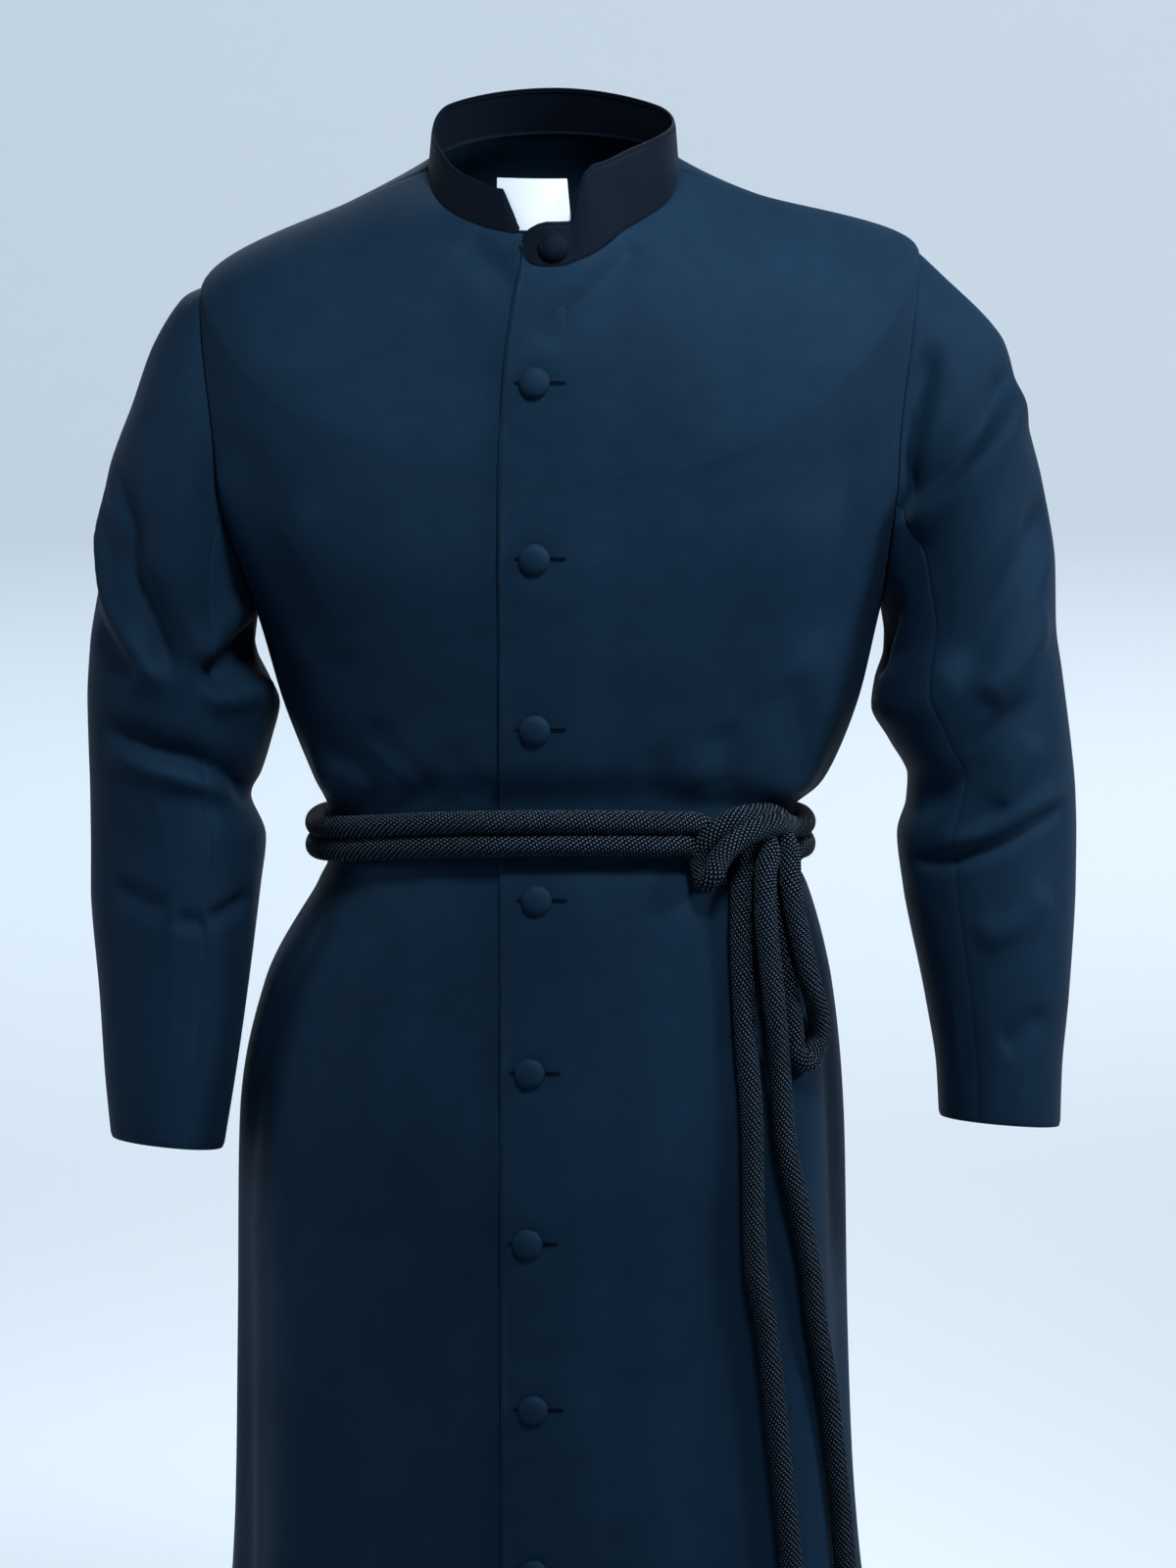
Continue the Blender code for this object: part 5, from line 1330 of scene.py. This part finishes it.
def knit_group():
    """A rope's tube with spiral wales pressed into it, along a path."""
    tree, given, out = geometry_group(
        "Knitted rope",
        (
            ("Radius", "NodeSocketFloat", ROPE_RADIUS), ("Wales", "NodeSocketInt", ROPE_WALES),
            ("Lay", "NodeSocketFloat", ROPE_LAY),
            ("Depth", "NodeSocketFloat", ROPE_DEPTH), ("Step", "NodeSocketFloat", ROPE_STEP),
            ("Sides", "NodeSocketInt", ROPE_SIDES), ("Material", "NodeSocketMaterial", None),
        ),
    )
    curve = add_node(tree, "GeometryNodeMeshToCurve", {"Mesh": given.outputs["Geometry"]})
    spaced = add_node(
        tree, "GeometryNodeResampleCurve",
        {"Curve": curve.outputs[0], "Length": given.outputs["Step"]}, mode="LENGTH",
    )
    spline = add_node(tree, "GeometryNodeSplineParameter")
    measured = add_node(
        tree, "GeometryNodeStoreNamedAttribute",
        {"Geometry": spaced.outputs[0], "Name": "along", "Value": spline.outputs["Length"]},
        data_type="FLOAT", domain="POINT",
    )
    ring = add_node(
        tree, "GeometryNodeCurvePrimitiveCircle",
        {"Resolution": given.outputs["Sides"], "Radius": given.outputs["Radius"]},
    )
    index = add_node(tree, "GeometryNodeInputIndex")
    turn = add_math(tree, "DIVIDE", index.outputs[0], given.outputs["Sides"])
    turn = add_math(tree, "MULTIPLY", turn, TURN)
    across, forward = add_math(tree, "COSINE", turn), add_math(tree, "SINE", turn)
    compass = add_node(tree, "ShaderNodeCombineXYZ", {0: across, 1: forward})
    pointed = add_node(
        tree, "GeometryNodeStoreNamedAttribute",
        {"Geometry": ring.outputs[0], "Name": "compass", "Value": compass.outputs[0]},
        data_type="FLOAT_VECTOR", domain="POINT",
    )
    tube = add_node(
        tree, "GeometryNodeCurveToMesh",
        {"Curve": measured.outputs[0], "Profile Curve": pointed.outputs[0], "Fill Caps": True},
    )
    run = read_attribute(tree, "along", "FLOAT")
    facing = read_attribute(tree, "compass", "FLOAT_VECTOR")
    _, _, relief = add_wales(tree, given, facing, run)
    from_midline = add_math(tree, "SUBTRACT", relief, ROPE_MIDLINE)
    sink = add_math(tree, "MULTIPLY", from_midline, given.outputs["Depth"])
    normal = add_node(tree, "GeometryNodeInputNormal")
    move = scale_vector(tree, normal.outputs[0], sink)
    pressed = add_node(
        tree, "GeometryNodeSetPosition", {"Geometry": tube.outputs[0], "Offset": move}
    )
    smooth = add_node(tree, "GeometryNodeSetShadeSmooth", {0: pressed.outputs[0]})
    real = add_node(tree, "GeometryNodeRealizeInstances", {0: smooth.outputs[0]})
    painted = add_node(
        tree, "GeometryNodeSetMaterial", {0: real.outputs[0], "Material": given.outputs["Material"]}
    )
    tree.links.new(painted.outputs[0], out.inputs[0])
    return tree


def loop_group():
    """Chain-like loops along a rope's wales: their height, from the rope's own directions."""
    tree, given, out = add_group(
        "Knit loops",
        (
            ("Compass", "NodeSocketVector", None), ("Along", "NodeSocketFloat", None),
            ("Wales", "NodeSocketFloat", ROPE_WALES), ("Lay", "NodeSocketFloat", ROPE_LAY),
            ("Courses", "NodeSocketFloat", ROPE_COURSES), ("Girth", "NodeSocketFloat", ROPE_GIRTH),
        ),
        (("Height", "NodeSocketFloat"),),
    )
    run = given.outputs["Along"]
    place, phase, wale = add_wales(tree, given, given.outputs["Compass"], run)
    centred = add_math(tree, "ADD", phase, 0.5)
    from_crest = add_math(tree, "SUBTRACT", add_math(tree, "FRACT", centred), 0.5)
    within = add_math(tree, "ABSOLUTE", from_crest)
    odd = add_math(tree, "MULTIPLY", add_math(tree, "FLOOR", centred), 0.5)
    slope = add_math(tree, "DIVIDE", given.outputs["Lay"], given.outputs["Girth"])
    across = add_math(tree, "DIVIDE", run, given.outputs["Girth"])
    climb = add_math(tree, "SUBTRACT", add_math(tree, "MULTIPLY", across, slope), place)
    course = add_math(tree, "MULTIPLY", climb, given.outputs["Courses"])
    lean = add_math(tree, "ADD", odd, add_math(tree, "MULTIPLY", within, LOOP_LEAN))
    loop = add_wave(tree, add_math(tree, "ADD", course, lean))
    loop = add_math(tree, "POWER", loop, LOOP_SHARPNESS)
    raised = add_math(tree, "MULTIPLY", loop, 1.0 - LOOP_FLOOR)
    raised = add_math(tree, "ADD", raised, LOOP_FLOOR)
    tree.links.new(add_math(tree, "MULTIPLY", wale, raised), out.inputs["Height"])
    return tree


def rope_material(name, **changes):
    """Black cotton yarn, a little glossy, with painted shade between the loops and painted glints on
    them.
    """
    made = bpy.data.materials.new(name)
    made.use_nodes = True
    tree = made.node_tree
    shader = tree.nodes["Principled BSDF"]
    compass = add_node(tree, "ShaderNodeAttribute", attribute_name="compass").outputs["Vector"]
    run = add_node(tree, "ShaderNodeAttribute", attribute_name="along").outputs["Fac"]
    loops = add_node(tree, "ShaderNodeGroup", node_tree=LOOPS)
    for label, value in changes.items():
        loops.inputs[label].default_value = value
    tree.links.new(compass, loops.inputs["Compass"])
    tree.links.new(run, loops.inputs["Along"])
    where = add_node(tree, "ShaderNodeTexCoord").outputs["Object"]
    fibre = add_noise(tree, where, FIBRE_SCALE, 2.0)
    # The colour is painted light: painted shade in the gaps between the loops and painted glints on
    # their crests, broken up by the fibre noise.
    raised = add_node(
        tree, "ShaderNodeMapRange",
        {"Value": loops.outputs[0], "From Min": GLINT_FROM, "From Max": GLINT_TO},
    )
    glint_share = add_math(tree, "POWER", raised.outputs[0], GLINT_SHARPNESS)
    tone = add_math(tree, "MULTIPLY", glint_share, add_math(tree, "ADD", fibre, FIBRE_TONE))
    fuzz = add_math(tree, "MULTIPLY", fibre, FIBRE_HEIGHT)
    height = add_math(tree, "ADD", loops.outputs[0], fuzz)
    relief = add_node(
        tree, "ShaderNodeBump", {"Height": height, "Distance": ROPE_BUMP, "Strength": 1.0}
    )
    colour = add_colour(tree, ROPE_GAP_SHADE, ROPE_LOOP_GLINT, tone)
    tree.links.new(colour, shader.inputs["Base Color"])
    tree.links.new(relief.outputs[0], shader.inputs["Normal"])
    shader.inputs["Roughness"].default_value = ROPE_ROUGHNESS
    shader.inputs["Specular IOR Level"].default_value = ROPE_SPECULAR
    shader.inputs["Specular Tint"].default_value = (*BLUE_SHINE, 1.0)
    return made


KNIT = knit_group()
LOOPS = loop_group()
ROPE_FINISH = rope_material("knitted rope")


def rope(name, points, nodes, **changes):
    """A knitted rope along points, in place of its nodes."""
    source = path_mesh(f"{name} line", [points])
    made = grow_piece(f"{name}_rope", source, KNIT, {"Material": ROPE_FINISH, **changes})
    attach(made, "root")
    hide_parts(*nodes)
    return made


def over_cloth(rows):
    """Points of a route's table, over the cloth."""
    points, _ = on_cloth(**named(ROUTE_COLUMNS, np.array(rows).T))
    return points


def strand_lift(points):
    """How far the overlapping front pushes a waist strand off the body surface."""
    front = points[..., 1] < 0.0
    rise = smooth_step((points[..., 0] - STRAND_RISE_X) / (STRAND_LIFTED_X - STRAND_RISE_X))
    return np.where(front, lap_lift(points) * rise, 0.0)


def waist_strand(start, end, side):
    """The line of one strand round the waist, between two angles."""
    strand_angle = np.linspace(start, end, STRAND_POINTS)
    strand_level = np.full(STRAND_POINTS, WAIST_LEVEL)
    flat_out = unit(body_normal(body, strand_angle, strand_level) * np.array((1.0, 1.0, 0.0)))
    strand = body(strand_angle, strand_level)
    strand += flat_out * (ROPE_RADIUS + REST_GAP + strand_lift(strand))[:, None]
    strand[:, 2] += side * (ROPE_RADIUS + SEAM_GAP / 2.0)
    return strand


for name, nodes, start, angles, side, finish in (
    ("cincture_turn", ("cincture_upper", "cincture_knot"), UPPER_END, UPPER_STRAND, 1.0, KNOT_ROUTE),
    ("cincture_lower", ("cincture_lower",), LOWER_LEFT_END, LOWER_STRAND, -1.0, LOWER_RIGHT_END),
):
    line = np.vstack((over_cloth(start), waist_strand(*angles, side), over_cloth(finish)))
    rope(name, smooth_path(line, ROUTE_STEPS), nodes)
loop_line = smooth_path(over_cloth(LOOP_START + LOOP_ROUTE + LOOP_FINISH), LOOP_STEPS)
loop = rope("cincture_loop", loop_line, ("cincture_loop",))

# The rope's two ends, which hang from the knot down the skirt, each closed by a knot of
# its own: the end turned through a bight and drawn tight, which squeezes it thinner.
KNOT_RADIUS = 0.016
KNOT_TUBE = 0.0058
KNOT_LAY = 0.046
KNOT_POINTS = 97
TREFOIL_REACH = 3.0
TREFOIL_DEPTH = 1.25
TAIL_A_ROUTE = (
    (0.1293, -0.4380, 0.0105), (0.1248, -0.4585, 0.0090), (0.1243, -0.4828, 0.0081),
    (0.1241, -0.5033, 0.0081), (0.1270, -0.5600, 0.0081), (0.1316, -0.6197, 0.0081),
    (0.1344, -0.7144, 0.0081), (0.1425, -0.7638, 0.0081), (0.1516, -0.8488, 0.0081),
    (0.1594, -0.9191, 0.0081), (0.1660, -1.0000, 0.0081), (0.1710, -1.1000, 0.0100),
    (0.1745, -1.1700, 0.0130), (0.1765, -1.2200, 0.0175),
)
TAIL_B_START = ((0.1385, -0.4290, 0.0110), (0.1405, -0.4370, 0.0175))
TAIL_B_ROUTE = (
    (0.1425, -0.4450, 0.0240), (0.1400, -0.4585, 0.0240), (0.1402, -0.4828, 0.0240),
    (0.1435, -0.5180, 0.0210), (0.1470, -0.5500, 0.0190), (0.1500, -0.5876, 0.0110),
    (0.1547, -0.6403, 0.0081), (0.1631, -0.6795, 0.0081), (0.1722, -0.7280, 0.0081),
    (0.1761, -0.7613, 0.0081), (0.1853, -0.8185, 0.0081), (0.1933, -0.8869, 0.0081),
    (0.1971, -0.9240, 0.0081), (0.2030, -1.0000, 0.0081), (0.2090, -1.0900, 0.0110),
    (0.2120, -1.1400, 0.0140), (0.2140, -1.1750, 0.0175),
)
END_FINISH = rope_material("knotted rope end", Lay=KNOT_LAY, Girth=TURN * KNOT_TUBE)
turn = np.linspace(0.0, TURN, KNOT_POINTS)
trefoil = np.stack(
    (
        np.sin(turn) + 2.0 * np.sin(2.0 * turn),
        TREFOIL_DEPTH * -np.sin(3.0 * turn),
        np.cos(turn) - 2.0 * np.cos(2.0 * turn),
    ),
    axis=-1,
) * (KNOT_RADIUS - KNOT_TUBE) / TREFOIL_REACH
for letter, route in (("a", TAIL_A_ROUTE), ("b", TAIL_B_START + TAIL_B_ROUTE)):
    tail_points = over_cloth(route)
    tail_line = smooth_path(tail_points, ROUTE_STEPS)
    tail = rope(f"cincture_tail_{letter}", tail_line, (f"cincture_tail_{letter}",))
    before, end = tail_points[-2:]
    middle = end + unit(end - before) * (KNOT_RADIUS + SEAM_GAP)
    end_knot = rope(
        f"end_knot_{letter}", trefoil + middle, (f"end_knot_{letter}",),
        Radius=KNOT_TUBE, Lay=KNOT_LAY, Material=END_FINISH,
    )

# The studio: a round of pale paper that sweeps up into a wall on every side, soft light
# from above, both sides and behind, and the photograph's camera, a little above the neck
# and tilted down.
FLOOR_Z = -1.50
CENTRE_RADIUS = 1.0
FLOOR_RADIUS = 8.0
SWEEP_RADIUS = 2.5
SWEEP_STEPS = 16
WALL_TOP_Z = 4.5
STUDIO_SIDES = 96
PAPER_COLOUR = (0.70, 0.79, 0.88)
PAPER_ROUGHNESS = 0.9
AMBIENT_COLOUR = (0.84, 0.92, 1.0)
AMBIENT_STRENGTH = 0.05
CAMERA_PLACE = (0.0227, -3.130, 0.2488)
CAMERA_TILT = 78.0
CAMERA_LENS = 108.0
CAMERA_SENSOR = 36.0
sweep = [
    (FLOOR_RADIUS + SWEEP_RADIUS * math.sin(turn), FLOOR_Z + SWEEP_RADIUS * (1.0 - math.cos(turn)))
    for turn in np.linspace(0.0, math.pi / 2.0, SWEEP_STEPS)
]
profile = [(CENTRE_RADIUS, FLOOR_Z), *sweep, (FLOOR_RADIUS + SWEEP_RADIUS, WALL_TOP_Z)]
compass = np.linspace(0.0, TURN, STUDIO_SIDES, endpoint=False)
paper_points = [(r * math.cos(turn), r * math.sin(turn), z) for r, z in profile for turn in compass]
paper_faces = [tuple(range(STUDIO_SIDES))]
for ring in range(len(profile) - 1):
    for side in range(STUDIO_SIDES):
        a, b = ring * STUDIO_SIDES + side, ring * STUDIO_SIDES + (side + 1) % STUDIO_SIDES
        paper_faces.append((a, a + STUDIO_SIDES, b + STUDIO_SIDES, b))
floor_mesh = bpy.data.meshes.new("studio floor")
floor_mesh.from_pydata(paper_points, [], paper_faces)
floor_mesh.shade_smooth()
floor_mesh.materials.append(plain_material("studio paper", PAPER_COLOUR, PAPER_ROUGHNESS))
add_object("studio_floor", floor_mesh)

world = bpy.data.worlds.new("studio")
world.use_nodes = True
ambient = world.node_tree.nodes["Background"]
ambient.inputs["Color"].default_value = (*AMBIENT_COLOUR, 1.0)
ambient.inputs["Strength"].default_value = AMBIENT_STRENGTH
bpy.context.scene.world = world
bpy.context.scene.view_settings.view_transform = "Standard"
LIGHT_COLUMNS = ("name", "place", "aim", "size", "spread", "power", "colour")
LIGHTS = (
    ("ceiling", (0.45, -1.05, 1.30), (0.05, 0.0, -0.10), 0.45, 60.0, 7.5, (1.0, 0.99, 0.97)),
    ("right", (2.5, -0.6, 0.9), (0.30, 0.0, -0.25), 0.6, 110.0, 30.0, (0.97, 0.99, 1.0)),
    ("left", (-2.5, -0.4, 0.3), (-0.30, 0.0, -0.45), 0.7, 110.0, 8.0, (0.93, 0.97, 1.0)),
    ("backdrop_left", (-2.6, 3.6, 3.2), (-1.2, 8.0, -1.2), 1.5, 180.0, 165.0, (0.87, 0.94, 1.0)),
    ("backdrop_right", (2.6, 3.6, 3.2), (1.2, 8.0, -1.2), 1.5, 180.0, 250.0, (1.0, 0.97, 0.93)),
    ("behind", (-0.9, 2.6, 1.6), (0.0, 0.0, -0.6), 0.8, 100.0, 9.0, (0.95, 0.98, 1.0)),
    ("backdrop_front", (0.0, -3.6, 3.4), (0.0, -8.5, -1.2), 1.5, 180.0, 150.0, (0.95, 0.97, 1.0)),
)
for row in LIGHTS:
    light = named(LIGHT_COLUMNS, row)
    data = bpy.data.lights.new(light["name"], "AREA")
    data.shape = "DISK"
    data.size = light["size"]
    data.spread = math.radians(light["spread"])
    data.energy = light["power"]
    data.color = light["colour"]
    made = add_object(light["name"], data)
    made.location = light["place"]
    aim = Vector(light["aim"]) - made.location
    made.rotation_euler = aim.to_track_quat("-Z", "Y").to_euler()

camera_data = bpy.data.cameras.new("camera")
camera_data.lens = CAMERA_LENS
camera_data.sensor_width = CAMERA_SENSOR
camera_data.sensor_fit = "AUTO"
camera_data.dof.use_dof = False
camera = add_object("camera", camera_data)
camera.location = CAMERA_PLACE
camera.rotation_euler = (math.radians(CAMERA_TILT), 0.0, 0.0)
bpy.context.scene.camera = camera
